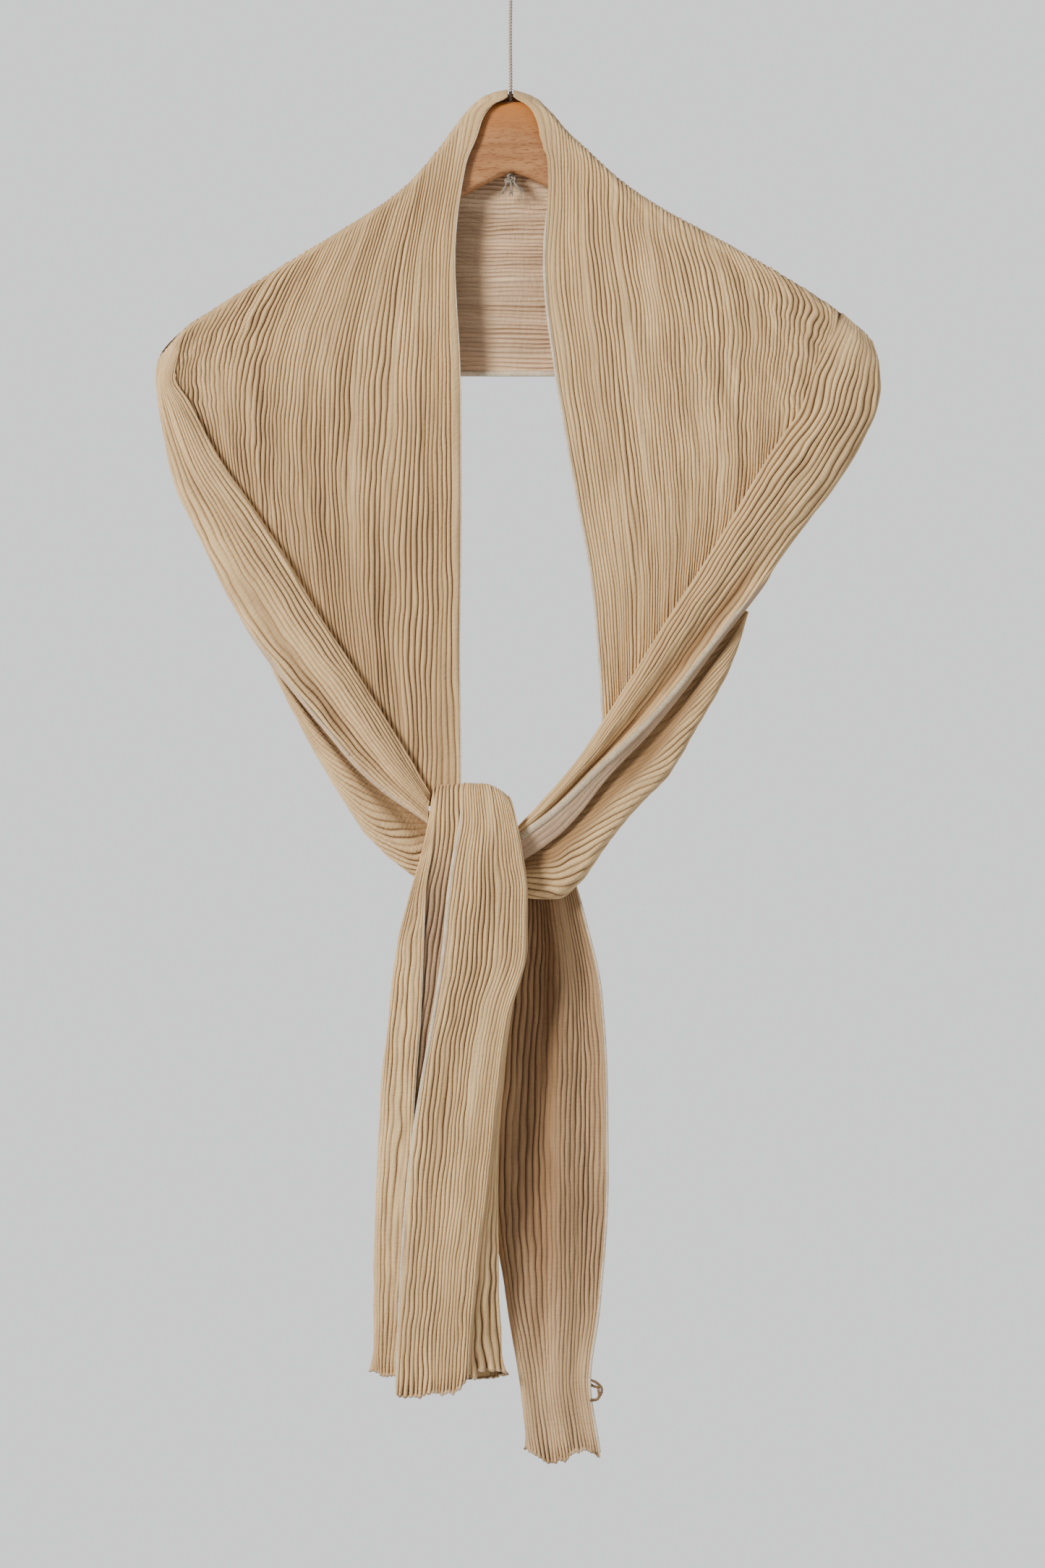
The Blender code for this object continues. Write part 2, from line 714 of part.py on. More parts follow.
def tube(name, points, radius, surface):
    """A round tube with flat ends along a list of points in millimetres."""
    curve = bpy.data.curves.new(name, "CURVE")
    curve.dimensions = "3D"
    curve.bevel_depth = radius * MM
    curve.bevel_resolution = 2
    curve.use_fill_caps = True
    line = curve.splines.new("POLY")
    line.points.add(len(points) - 1)
    for point, (across, depth, drop) in zip(line.points, points):
        point.co = (across * MM, depth * MM, -drop * MM, 1)
    made = bpy.data.objects.new(name, curve)
    bpy.context.scene.collection.objects.link(made)
    made.data.materials.append(surface)
    return made


LOOP_KNOT_DROP = 15.4
STOP_KNOT_DROP = 132.0
KNOT_RADIUS = 3.0


def twine(surface):
    """The twine: a loop at the top, its knot, the run through the hanger and the stop knot."""
    length = STOP_KNOT_DROP - KNOT_RADIUS - LOOP_KNOT_DROP - KNOT_RADIUS - 2 * SEAM_GAP
    count = 20
    start = LOOP_KNOT_DROP + KNOT_RADIUS + SEAM_GAP
    run = [(0, 0, start + length * i / count) for i in range(count + 1)]
    tube("twine", run, TWINE_RADIUS, surface)
    turns = 20
    loop = []
    for i in range(turns + 1):
        angle = math.radians(14) + (2 * math.pi - math.radians(28)) * i / turns
        lengthen = 0.5 + 0.5 * math.cos(angle)
        loop.append(
            (
                LOOP_RADIUS * math.sin(angle) * (1 - 0.35 * lengthen),
                0,
                LOOP_RADIUS * 1.15 * (1 + math.cos(angle)) - TWINE_RADIUS,
            )
        )
    tube("twine_loop", loop, TWINE_RADIUS, surface)
    radii = (KNOT_RADIUS, KNOT_RADIUS, KNOT_RADIUS)
    rounded("twine_loop_knot", (0, 0, LOOP_KNOT_DROP), radii, 6, 10, 1, surface)
    rounded("twine_stop_knot", (0, 0, STOP_KNOT_DROP), radii, 6, 10, 1, surface)
    left_end = [(-1.4, -1, 135.6), (-2.8, -1.5, 137.6), (-4.6, -2, 139.7), (-6, -2, 141.7)]
    right_end = [(1.6, -1, 135.6), (3.4, -1.5, 137.6), (5.4, -2, 139.4), (7.2, -2, 140.8)]
    tube("twine_end_left", left_end, TWINE_RADIUS, surface)
    tube("twine_end_right", right_end, TWINE_RADIUS, surface)


def main():
    for old in list(bpy.data.objects):
        bpy.data.objects.remove(old)
    beige = material("scarf_cotton", BEIGE, 0.9)
    wood = material("hanger_wood", WOOD, 0.45)
    cream = material("twine_cotton", CREAM, 0.9)
    hanger("hanger", wood)
    twine(cream)
    back_panel("back_panel", beige)
    front_panel("front_left", LEFT_PANEL, beige)
    front_panel("front_right", RIGHT_PANEL, beige)
    band("band_left", LEFT_BAND, beige, True)
    band("band_right", RIGHT_BAND, beige, False)
    strand("strand_left", LEFT_STRAND, beige, True)
    strand("strand_right", RIGHT_STRAND, beige, False)
    front_tail("tail_front", beige)
    rear_tail("tail_rear", beige)
    rounded("knot_core", (-21, -6.7, 559), (22, 16.2, 26), 10, 16, 0.7, beige)


main()
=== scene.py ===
"""The looks of a finely pleated cotton scarf, tied in a half knot and hung over a wooden hanger.

Axes: +X to the viewer's right, +Y away from the viewer, +Z up. The origin is where a nail or a
hook holds the loop of twine. The tables are in millimetres: "across" is X, "drop" is the distance
below the origin, "depth" is Y (minus is towards the viewer) and "pleat" is the share of the
scarf's width counted from its inner edge. They become metres in place().
"""

import math
from types import SimpleNamespace

import bpy
import numpy as np
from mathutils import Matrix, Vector


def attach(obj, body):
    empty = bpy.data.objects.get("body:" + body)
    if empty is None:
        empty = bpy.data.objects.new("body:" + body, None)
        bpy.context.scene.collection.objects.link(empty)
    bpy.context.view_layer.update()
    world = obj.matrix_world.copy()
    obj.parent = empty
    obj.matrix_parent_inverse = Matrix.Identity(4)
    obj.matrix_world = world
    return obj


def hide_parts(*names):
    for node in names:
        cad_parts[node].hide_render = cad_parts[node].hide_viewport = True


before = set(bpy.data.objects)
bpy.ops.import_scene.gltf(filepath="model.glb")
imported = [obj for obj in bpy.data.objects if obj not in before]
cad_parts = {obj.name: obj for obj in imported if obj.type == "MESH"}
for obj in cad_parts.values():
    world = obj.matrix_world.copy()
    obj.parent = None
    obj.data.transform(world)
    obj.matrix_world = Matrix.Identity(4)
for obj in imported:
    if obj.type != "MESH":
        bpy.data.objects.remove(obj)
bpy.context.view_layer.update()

MM = 0.001
WRAP = 8.9  # half the thickness of the fold over the hanger
LAPEL_ROLL = 2.2
HANGER_THICK = 11.0
HANGER_ROUND = 4.6
HANGER_TILT = math.radians(-1.3)
HANGER_TOP = 83.3
TWINE_RADIUS = 1.25
LOOP_RADIUS = 5.5
KNOT_RADIUS = 3.0
LOOP_KNOT_DROP = 15.4
STOP_KNOT_DROP = 132.0
SEAM_GAP = 0.35
LOOP_OPEN = math.radians(14)  # half the angle the loop leaves open at its knot
PLIED = dict(sides=14, lobes=2, twist=260.0)
LOOSE = dict(sides=8, lobes=2, twist=300.0)
# The twine's ends below the stop knot: (across, depth, drop) of the top, the bend and the tip.
FRAYED_ENDS = {
    "left": ((-1.4, -1.6, 134), (-3.4, -2.4, 137.4), (-5.6, -2.6, 141.6)),
    "right": ((1.6, -1.6, 134), (4.4, -2.4, 137.2), (7.6, -2.6, 140.6)),
    "front": ((0.2, -2.6, 134), (0.9, -3.4, 137.6), (0.6, -3.6, 142.2)),
}
BACK_TOP = 76.3
BACK_BOTTOM = 255.0

SAMPLES = 6  # points across one pleat
PLEAT_DEPTH = 2.2  # crest to valley of a well-formed pleat
DEPTH_TO_WIDTH = 0.66  # the deepest a pleat gets, for its width
DEPTH_MEAN, DEPTH_SPREAD, DEPTH_LIMITS = 0.86, 0.36, (0.3, 1.35)
MEAN_LEVEL = 0.55  # the height within a pleat that lies on the smooth surface
RELIEF_DEPTH = 0.68  # the share of PLEAT_DEPTH at which a valley has its full painted shade
FRILL_REACH = 12.0  # how far above a cut end its frill starts
ROW_STEP = 2.2  # distance between rows along the cloth
LEAST_FACE = 2e-10  # twice the area, in square metres, below which a face is left out
EVEN = np.linspace(0, 1, 200)  # the columns of the smooth surface that pleats are raised from
# How the pleats stray sideways: strength in pleats, length of a stray, pleats that go together.
DRIFT_LAYERS = ((0.85, 80, 4.5), (0.24, 24, 1.5), (0.13, 7, 1))
CRIMP_LENGTH, CRIMP_PLEATS = 10, 7
# How a valley rises and a crest dips along the cloth: strength as a share of depth, and length.
VALLEY_LAYERS = ((0.52, 70), (0.22, 22))
CREST_LAYERS = ((0.18, 28), (0.12, 8))
VALLEY_DROP, VALLEY_MOST = 0.05, 0.85

# The photograph's frame: its scale, and where its middle lies.
PIXEL = 0.46
FRAME_TALL = 2168
FRAME_MIDDLE = (7.6, 517.0)
CAMERA_AWAY = 2.15


def table(columns, *rows):
    """A short table, with its columns by name."""
    return SimpleNamespace(**dict(zip(columns.split(), np.array(rows, float).T)))


# The fold over the left and right arm of the hanger: pleats start here and fall to the front.
LEFT_RIDGE = table(
    "drop across pleat",
    (75.6, -1.7, 0), (78.8, -14.6, 0.015), (86.6, -25.3, 0.04), (99.9, -36.2, 0.085),
    (118, -49.9, 0.185), (136.8, -66.7, 0.31), (157.2, -94.9, 0.5), (185.2, -141.7, 0.76),
    (213.9, -187.3, 0.935), (226.0, -206, 1),
)
RIGHT_RIDGE = table(
    "drop across pleat",
    (75.6, 1.7, 0), (79.9, 14.5, 0.02), (89.3, 25.4, 0.048), (101.4, 36, 0.095),
    (114.2, 49.3, 0.185), (131.2, 67.8, 0.29), (150.3, 94.8, 0.46), (176.2, 141.9, 0.73),
    (201.6, 186.4, 0.915), (216, 208, 1),
)
# The edge beside the neck opening, from the top of the hanger down.
LEFT_INNER = table(
    "drop across",
    (84.5, -1.7), (86, -8), (88, -16.5), (91, -21), (103, -23.5), (121, -28), (142, -32),
    (167, -35.4), (195, -36), (227, -33), (257, -31.7), (365, -31.5), (434, -32.7), (470, -31.7),
)
RIGHT_INNER = table(
    "drop across",
    (84.5, 1.7), (86, 8), (88.5, 15), (92, 18.5), (103, 21.3), (112, 24), (139, 25), (172, 21),
    (190, 20), (218, 23.5), (257, 28.5), (296, 35.4), (342, 43), (388, 52.4), (443, 56.6),
    (470, 59),
)
# The panel's far edge below the shoulder: behind the band, then out below it.
LEFT_OUTER = table(
    "drop across",
    (227, -206), (241, -213), (255, -215.5), (270, -213.5), (296, -206.5), (319, -200),
    (342, -194), (365, -186), (388, -176), (411, -164), (434, -155.5), (470, -139),
)
RIGHT_OUTER = table(
    "drop across",
    (219, 208), (235, 204.5), (254, 197.5), (268, 193), (289, 190), (319, 186), (342, 179),
    (365, 168), (388, 156), (402, 154), (443, 140), (470, 128),
)

# Where the front panels end, out of sight behind the bands and the knot.
LEFT_END = table(
    "across drop",
    (-219, 248), (-213, 283), (-200, 316), (-180, 350), (-162, 380), (-141, 409.5), (-127, 428.5),
    (-112, 450.5), (-96, 472.5), (-80, 494.5), (-68, 510.5), (-59, 521), (-54, 531), (-45, 531),
    (-41, 520), (-32, 519.4), (-30, 516.6), (-27, 516.6),
)
RIGHT_END = table(
    "across drop",
    (54, 492), (70, 471), (84, 451), (97, 432), (110, 413), (122, 395), (140, 384), (158, 359),
    (176, 331), (191, 309), (204, 287), (214, 266), (220, 248),
)
# "crowding" is how much closer the outer pleats lie low down than the inner ones.
LEFT_PANEL = SimpleNamespace(
    ridge=LEFT_RIDGE, inner=LEFT_INNER, outer=LEFT_OUTER, end=LEFT_END, crowding=0.9
)
RIGHT_PANEL = SimpleNamespace(
    ridge=RIGHT_RIDGE, inner=RIGHT_INNER, outer=RIGHT_OUTER, end=RIGHT_END, crowding=0.45
)

# The band from each shoulder to the knot, a row for each section: its inner fold, its outer
# edge, the cloth beyond that edge, how far that cloth is rolled behind (1) or hangs free (0),
# the depth of its crown, the trough along it, and the depths of its tucked and its rolled edge.
BAND_COLUMNS = (
    "inner_across inner_drop edge_across edge_drop lip roll crown trough tuck_depth end_depth"
)
LEFT_BAND = table(
    BAND_COLUMNS,
    (-207, 227, -225, 247, 5, 1, -2, 0, -1, 2.5),
    (-206.8, 231, -226, 254, 6, 1, -7.5, 0, -6.5, 3),
    (-210, 243, -226, 261, 7, 1, -10, 0, -9, 2.5),
    (-212.5, 258, -225, 270, 8, 1, -13.5, 0, -11, 1),
    (-203, 276, -221, 293, 9, 1, -18, 0, -12.2, 0),
    (-187, 307, -214, 325, 10, 1, -20.5, 0.5, -12.2, 0),
    (-164, 341, -197, 362, 10, 1, -21.5, 1, -12.2, -3),
    (-145, 370, -179, 396, 6, 0.6, -22, 2, -12.2, -7),
    (-122.5, 409, -155, 432, 3, 0, -22, 3, -12.2, -10),
    (-104, 437, -135, 458, 3, 0, -22, 4.5, -12.2, -10),
    (-85.5, 466, -112, 486, 3, 0, -21.5, 6, -12.2, -10),
    (-67, 496, -88.5, 512, 3, 0, -20.5, 5, -12.2, -10),
    (-51, 523.5, -52.2, 541, 1, 0, -18, 1, -12.6, -10),
)
RIGHT_BAND = table(
    BAND_COLUMNS,
    (211, 217.5, 231, 236, 5, 1, -2, 0, -1, 2.5),
    (207.5, 223.5, 234.6, 250, 6, 1, -7.5, 0, -6.5, 3),
    (199, 240, 235, 265, 7, 1, -9.8, 0, -8.8, 2.5),
    (192, 255, 233, 278, 8, 1, -11.6, 0, -10.4, 1),
    (184, 279, 224.5, 297, 9, 1, -15.5, 0, -12, 0),
    (170, 300, 212, 319, 10, 1, -19, 0.5, -12.2, 0),
    (158, 319, 194.5, 343, 10, 1, -21.5, 1.5, -12.2, -3),
    (140, 349, 173, 369.5, 8, 0.7, -22, 2.5, -12.2, -7),
    (121.5, 379, 152.5, 397.5, 3, 0, -22, 4, -12.2, -10),
    (100.5, 411, 128, 428, 3.5, 0, -22, 6, -12.2, -10),
    (82, 441, 106, 456, 4.5, 0, -22, 7.5, -12.2, -10),
    (63, 470, 83, 482, 6, 0, -21.5, 7.5, -12.2, -10),
    (43, 500.5, 55, 508, 8.5, 0, -21, 5, -12.2, -10),
    (19, 529, 26, 536, 13, 0, -20, 2.5, -12.2, -10),
    (2.5, 546.5, 3.5, 552, 14.5, 0, -19, 1, -12.2, -10),
)
# The inner pleats below the band, drawn round to the knot: the hidden edge that meets the front
# panel, the outline, how much of the width the band covers, the depth of the crown and of the
# edge rolled behind, and how far that edge is rolled.
STRAND_COLUMNS = "hidden_across hidden_drop edge_across edge_drop cover crown end_depth back"
LEFT_STRAND = table(
    STRAND_COLUMNS,
    (-140, 412, -156, 432, 0.97, -11.7, -6, 3),
    (-127, 430, -148, 450, 0.91, -12.5, -4, 5),
    (-112, 452, -137, 471.5, 0.78, -15.5, -1, 8),
    (-96, 474, -124, 497, 0.64, -17, 1, 12),
    (-80, 496, -107, 525, 0.51, -17.5, 2, 15),
    (-68, 512, -92.5, 547, 0.4, -17.5, 2, 18),
    (-58, 526, -75, 565, 0.3, -16, 1, 20),
    (-50, 536, -58, 577, 0.18, -15, 0, 20),
    (-44.5, 541, -46, 580, 0.1, -14, -2, 18),
)
RIGHT_STRAND = table(
    STRAND_COLUMNS,
    (122, 397, 150.5, 408, 0.97, -11.7, -6, 3),
    (110, 415, 143.7, 431.5, 0.77, -13.5, -4, 5),
    (97, 434, 132.5, 455.5, 0.67, -16, -1, 8),
    (84, 453, 116, 485, 0.62, -17, 1, 12),
    (70, 473, 101, 511, 0.58, -17.5, 2, 15),
    (54, 495, 78.7, 534, 0.52, -17.5, 2, 18),
    (36, 517, 57.5, 561, 0.46, -17, 2, 20),
    (26, 527, 45, 578.5, 0.42, -17, 2, 20),
    (15, 538, 28.5, 590, 0.42, -16.5, 1, 20),
    (2.5, 548, 5, 589.5, 0.46, -16, -1, 18),
)

# The end that falls over the front of the knot: an open tube of cloth, a row for each section.
# "selvedge" and "flap" are its two free edges, on either side of the slit in front, "round" is how
# far its corners drop at the knot, and "sunk" how far its inner layer lies back.
FRONT_TAIL = table(
    "drop depth thick selvedge right side left flap round sunk",
    (592, 10, 5, -24, 0, 0, -46, -45, 0, 0),
    (560, 16.5, 5, -26, 2, 2, -49, -48, 0, 0),
    (532, 14, 5, -28, -1, -1, -49.5, -48.5, 0.5, 0),
    (522.5, 0, 5, -29, -3, -3, -49, -48, 1, 0),
    (516.5, -14, 5.5, -30, -1, -1, -49, -48, 1, 0),
    (521, -22, 6, -31, 1, 1, -49.5, -48, 0.8, 0),
    (537, -28, 6, -31, 4, 4, -51.5, -47.5, 0.3, 0.5),
    (558, -31, 6.5, -34.5, 7, 7, -55.5, -49, 0, 1),
    (585, -32, 8, -38.5, 10.5, 10.5, -63, -53, 0, 1),
    (618, -31, 10, -41.5, 10.5, 10, -71, -54.5, 0, 1),
    (664, -29, 12, -48.5, -1, 0, -76.5, -56.5, 0, 1),
    (710, -27, 14, -56.5, -7.5, -5, -81, -60, 0, 1),
    (756, -26, 15, -63.5, -12, -8, -83.5, -62.5, 0, 1),
    (825, -24.5, 16.5, -69, -21, -8, -85, -67.5, 0, 1),
    (893, -23, 18, -72, -26, -5, -85.5, -70, 0, 1),
)
# The end that hangs behind it: one fold on the left, free edges on the right.
REAR_TAIL = table(
    "drop depth left right fold_depth back_right",
    (572, 3.6, 5, 39, 2, 31),
    (600, 2.8, 4, 46.5, 5, 38),
    (650, 1, -3, 57.5, 7, 46),
    (710, 0, -8, 61, 7, 50),
    (770, -1, -10, 61.5, 6, 51),
    (848, -1, -2, 56.5, 4, 47),
    (898, -1, 6, 50.3, 3, 47),
    (944, -1, 11, 57, 2, 48),
)
# How far below its mean drop the rear tail ends.
REAR_END = table(
    "across lower",
    (8, -6), (16, -1), (25, 3.3), (33, 3), (42, -4.5), (49, -4), (58, 1),
)
# The upper and lower outline of half the hanger.
HANGER_OUTLINE = table(
    "across top bottom",
    (0, 0, 45), (9, 0.6, 48), (15, 3.6, 50.8), (21, 10.4, 54), (30, 22.6, 58.5), (42, 35.6, 64),
    (56, 47.5, 71), (72, 61.5, 80), (95, 76, 93.5), (141, 101.5, 119), (180, 125.5, 141.5),
    (196, 136.5, 149), (200, 141, 145),
)
# One pleat: where its points lie across it, and how high they stand.
PLEAT_SHAPE = table(
    "share height",
    (0, 0), (0.09, 0.5), (0.27, 0.88), (0.5, 1), (0.73, 0.88), (0.91, 0.5),
)
# Colours: up one pleat with painted shade in its valley, the pinkish cast painted on cloth in
# shade, painted shade on cloth, cream thread, and the wood with its painted amber highlight.
VALLEY_SHADE = (0.215, 0.112, 0.046)
SLOPE_SHADE = (0.53, 0.345, 0.162)
CREST = (0.81, 0.57, 0.295)
# The pinkish cast painted on cloth that lies in shade.
PINKISH_SHADE = (0.69, 0.51, 0.375)
SHADED = (0.42, 0.34, 0.285)
CREAM = (0.80, 0.68, 0.51)
LIGHT_WOOD, WOOD, DARK_WOOD = (0.51, 0.245, 0.098), (0.43, 0.193, 0.073), (0.33, 0.135, 0.047)
# The painted amber highlight of the wood's rounded top.
AMBER_HIGHLIGHT = (0.52, 0.18, 0.035)


def smooth(at, keys, values):
    """A curve through the given points that doesn't swing past any of them."""
    at, keys, values = (np.asarray(a, float) for a in (at, keys, values))
    step = np.diff(keys)
    slope = np.diff(values) / step
    before, after = slope[:-1], slope[1:]
    same_way = before * after > 0
    total = np.where(same_way, before + after, 1.0)
    inside = np.where(same_way, 2 * before * after / total, 0.0)
    tangent = np.concatenate([slope[:1], inside, slope[-1:]])
    i = np.clip(np.searchsorted(keys, at, side="right") - 1, 0, len(step) - 1)
    s = np.clip((at - keys[i]) / step[i], 0, 1)
    s2, s3 = s * s, s * s * s
    return (
        (2 * s3 - 3 * s2 + 1) * values[i]
        + (s3 - 2 * s2 + s) * step[i] * tangent[i]
        + (3 * s2 - 2 * s3) * values[i + 1]
        + (s3 - s2) * step[i] * tangent[i + 1]
    )


def place(across, depth, drop):
    """Points in metres from millimetres across, in depth and below the origin."""
    return np.stack(np.broadcast_arrays(across, depth, -np.asarray(drop)), axis=-1) * MM


def spread_weights(count, cells):
    """How each of count even places draws on a row of cells, as a smooth curve does."""
    at = np.linspace(0, cells, count)
    cell = np.minimum(at.astype(int), cells - 1)
    t = at - cell
    parts = ((1 - t) ** 3, 3 * t**3 - 6 * t**2 + 4, -3 * t**3 + 3 * t**2 + 3 * t + 1, t**3)
    weights = np.zeros((count, cells + 3))
    for k, part in enumerate(parts):
        weights[np.arange(count), cell + k] += part / 6
    return weights


def wander(random, rows, columns, row_cells, column_cells):
    """Smooth noise of about -1 to 1 on a grid, changing over the given number of cells."""
    row_cells = max(1, int(round(row_cells)))
    column_cells = max(1, int(round(column_cells)))
    grid = random.uniform(-1, 1, (row_cells + 3, column_cells + 3))
    down = spread_weights(rows, row_cells)
    side = spread_weights(columns, column_cells)
    return 1.7 * down @ grid @ side.T


def lone_noise(random, rows, count, cells):
    """Noise of about -1 to 1 that changes along each of count lines, each on its own."""
    cells = max(1, int(round(cells)))
    return 1.5 * spread_weights(rows, cells) @ random.uniform(-1, 1, (cells + 3, count))


def lone_layers(random, rows, count, length, layers, level):
    """A level with one lone noise after another added to it."""
    for strength, run in layers:
        level = level + strength * lone_noise(random, rows, count, length / run)
    return level


def ease(value, low, high):
    """0 below low and 1 above high, with a smooth rise between them."""
    t = np.clip((value - low) / (high - low), 0, 1)
    return t * t * (3 - 2 * t)


def normals(middle):
    """The unit normal at each point of a grid of rows and columns."""
    across = np.gradient(middle, axis=1)
    along = np.gradient(middle, axis=0)
    found = np.cross(across, along)
    return found / np.maximum(np.linalg.norm(found, axis=2, keepdims=True), 1e-12)


def in_scene(name, data):
    """An object in the scene for a mesh, a light or the camera."""
    made = bpy.data.objects.new(name, data)
    bpy.context.scene.collection.objects.link(made)
    return made


def add_mesh(name, points, faces, material):
    """A smooth mesh object from points in metres."""
    mesh = bpy.data.meshes.new(name)
    mesh.from_pydata(points, [], faces)
    mesh.materials.append(material)
    mesh.shade_smooth()
    return in_scene(name, mesh)


def put_values(made, values):
    """Named numbers at each point, for the materials."""
    for key, value in values.items():
        layer = made.data.attributes.new(key, "FLOAT", "POINT")
        layer.data.foreach_set("value", np.asarray(value, np.float32).ravel())


def grid_object(name, points, outward, material, values, cloth_map):
    """A sheet of quads through a grid of points, with a map of the cloth in metres."""
    rows, columns = points.shape[:2]
    corner = np.arange(rows * columns).reshape(rows, columns)
    around = [corner[:-1, :-1], corner[:-1, 1:], corner[1:, 1:], corner[1:, :-1]]
    faces = np.stack(around[::outward], axis=-1).reshape(-1, 4)
    flat = points.reshape(-1, 3)
    first = flat[faces[:, 2]] - flat[faces[:, 0]]
    second = flat[faces[:, 3]] - flat[faces[:, 1]]
    longer = np.linalg.norm(first, axis=1) > np.linalg.norm(second, axis=1)
    turned = np.where(longer[:, None], np.roll(faces, -1, axis=1), faces)
    faces = turned[np.linalg.norm(np.cross(first, second), axis=1) > LEAST_FACE]
    made = add_mesh(name, points.reshape(-1, 3), faces, material)
    put_values(made, values)
    layer = made.data.uv_layers.new(name="cloth")
    spots = cloth_map.reshape(-1, 2)[faces.ravel()].astype(np.float32)
    layer.data.foreach_set("uv", spots.ravel())
    return made


def pleat_lines(random, rows, pleats, length, slant, crimp):
    """The share of the width at which each valley and crest lies, row by row, and its height.

    slant is how many pleats run off the far edge over the length, and crimp how far, in pleats,
    groups of them jog to the side together.
    """
    even = np.linspace(0, 1, 4 * pleats + 1)
    count = len(even)
    drift = 0
    for strength, run, group in (*DRIFT_LAYERS, (crimp, CRIMP_LENGTH, CRIMP_PLEATS)):
        drift = drift + strength * wander(random, rows, count, length / run, pleats / group)
    free = np.clip(np.minimum(even, 1 - even) / 0.02, 0, 1)
    phase = np.maximum.accumulate(pleats * even + drift * free, axis=1)
    phase += slant * np.linspace(0, 1, rows)[:, None]
    pleats += slant
    offset, rise = PLEAT_SHAPE.share, PLEAT_SHAPE.height
    steps = np.append((np.arange(pleats)[:, None] + offset).ravel(), pleats)
    places = np.array([np.interp(steps, line, even) for line in phase])
    valley = lone_layers(random, rows, pleats + 1, length, VALLEY_LAYERS, 0.0)
    valley = np.clip(valley - VALLEY_DROP, 0, VALLEY_MOST)
    crest = lone_layers(random, rows, pleats, length, CREST_LAYERS, 1.0)
    low = valley[:, :-1, None] * (1 - offset) + valley[:, 1:, None] * offset
    level = (low + rise * (crest[:, :, None] - low)).reshape(rows, -1)
    return places, np.concatenate([level, valley[:, -1:]], axis=1)


def along_rows(places, values):
    """Each row of values, read at the shares of the width in the same row of places."""
    values = np.broadcast_to(values, (len(places), np.shape(values)[-1]))
    even = np.linspace(0, 1, values.shape[1])
    return np.array([np.interp(at, even, row) for at, row in zip(places, values)])


def points_along_rows(places, points):
    """along_rows for a grid of points."""
    return np.stack([along_rows(places, points[..., k]) for k in range(3)], axis=-1)


def running_width(points):
    """How far each point lies from the first one of its row, along the row, in millimetres."""
    step = np.linalg.norm(np.diff(points, axis=1), axis=2) / MM
    return np.pad(np.cumsum(step, axis=1), ((0, 0), (1, 0)))


class Cloth:
    """A stretch of pleated cloth: a smooth surface with its pleats raised on one side.

    depth, tint and shade are shares across each row, or for the whole grid: the tint paints the
    pinkish cast of cloth in shade, and shade paints darker shade. swell is the height of its soft
    waves in millimetres, and frill how much more its cut end stands up.
    """

    def __init__(self, name, middle, material, pleats, seed, outward, depth=(1.0,), shade_tint=(0.0,),
                 shade=(0.0,), swell=0.5, frill=0.0, slant=0, crimp=0.12):
        rows = len(middle)
        random = np.random.default_rng(seed)
        step = np.linalg.norm(np.diff(middle, axis=0), axis=2).mean(axis=1) / MM
        along = np.concatenate([[0], np.cumsum(step)])
        length = along[-1]
        places, level = pleat_lines(random, rows, pleats, length, slant, crimp)
        columns = places.shape[1]
        surface = points_along_rows(places, middle)
        facing = points_along_rows(places, normals(middle) * outward)
        width = running_width(surface)

        half = SAMPLES // 2
        reach = np.pad(width, ((0, 0), (half, half)), mode="edge")
        pitch = reach[:, 2 * half:] - reach[:, :-2 * half]
        end = np.clip((along - length + FRILL_REACH) / FRILL_REACH, 0, 1)[:, None] ** 1.6
        deep = DEPTH_MEAN + DEPTH_SPREAD * wander(random, rows, columns, length / 55, pleats / 2.5)
        deep = np.clip(deep, *DEPTH_LIMITS) * along_rows(places, depth)
        full = np.minimum(PLEAT_DEPTH, DEPTH_TO_WIDTH * pitch) * deep * (1 + frill * end)
        lift = (level - MEAN_LEVEL) * full
        lift += swell * wander(random, rows, columns, length / 160, pleats / 6)
        points = surface + facing * (lift * MM)[..., None]

        down = np.gradient(surface, axis=0)
        down = down / np.maximum(np.linalg.norm(down, axis=2, keepdims=True), 1e-12)
        curl = wander(random, 1, columns, 1, pleats / 1.4)
        turn = wander(random, 1, columns, 1, pleats)
        points += facing * (frill * 1.3 * MM * end * curl)[..., None]
        points += down * (frill * MM * end * (1.6 * level - 1 + 0.7 * turn))[..., None]

        cloth_map = np.stack([width, np.broadcast_to(along[:, None], width.shape)], axis=-1)
        # relief paints shade into the valleys, fainter where the pleats are shallow
        deepness = np.clip(full / (RELIEF_DEPTH * PLEAT_DEPTH), 0.5, 1.2)
        values = {
            "relief": 1 - (1 - level) * deepness,
            "shade_tint": along_rows(places, shade_tint),
            "shade": along_rows(places, shade),
        }
        self.points = points
        self.places = places
        self.flat = (running_width(points)[:, -1].mean() * MM, length * MM)
        self.made = grid_object(name, points, outward, material, values, cloth_map * MM)

    def line(self, share):
        """The points that lie at a share of the width, one in each row."""
        found = [
            [np.interp(share, at, row[:, k]) for k in range(3)]
            for at, row in zip(self.places, self.points)
        ]
        return np.array(found)


def closed_rings(name, rings, outward, material):
    """A closed surface through rings that have the same number of points."""
    count, sides = rings.shape[:2]
    corner = np.arange(count * sides).reshape(count, sides)
    after = np.roll(corner, -1, axis=1)
    others = [after[:-1], after[1:], corner[1:]]
    faces = np.stack([corner[:-1], *others[::outward]], axis=-1).reshape(-1, 4)
    ends = [tuple(corner[0][::-outward]), tuple(corner[-1][::outward])]
    return add_mesh(name, rings.reshape(-1, 3), faces.tolist() + ends, material)


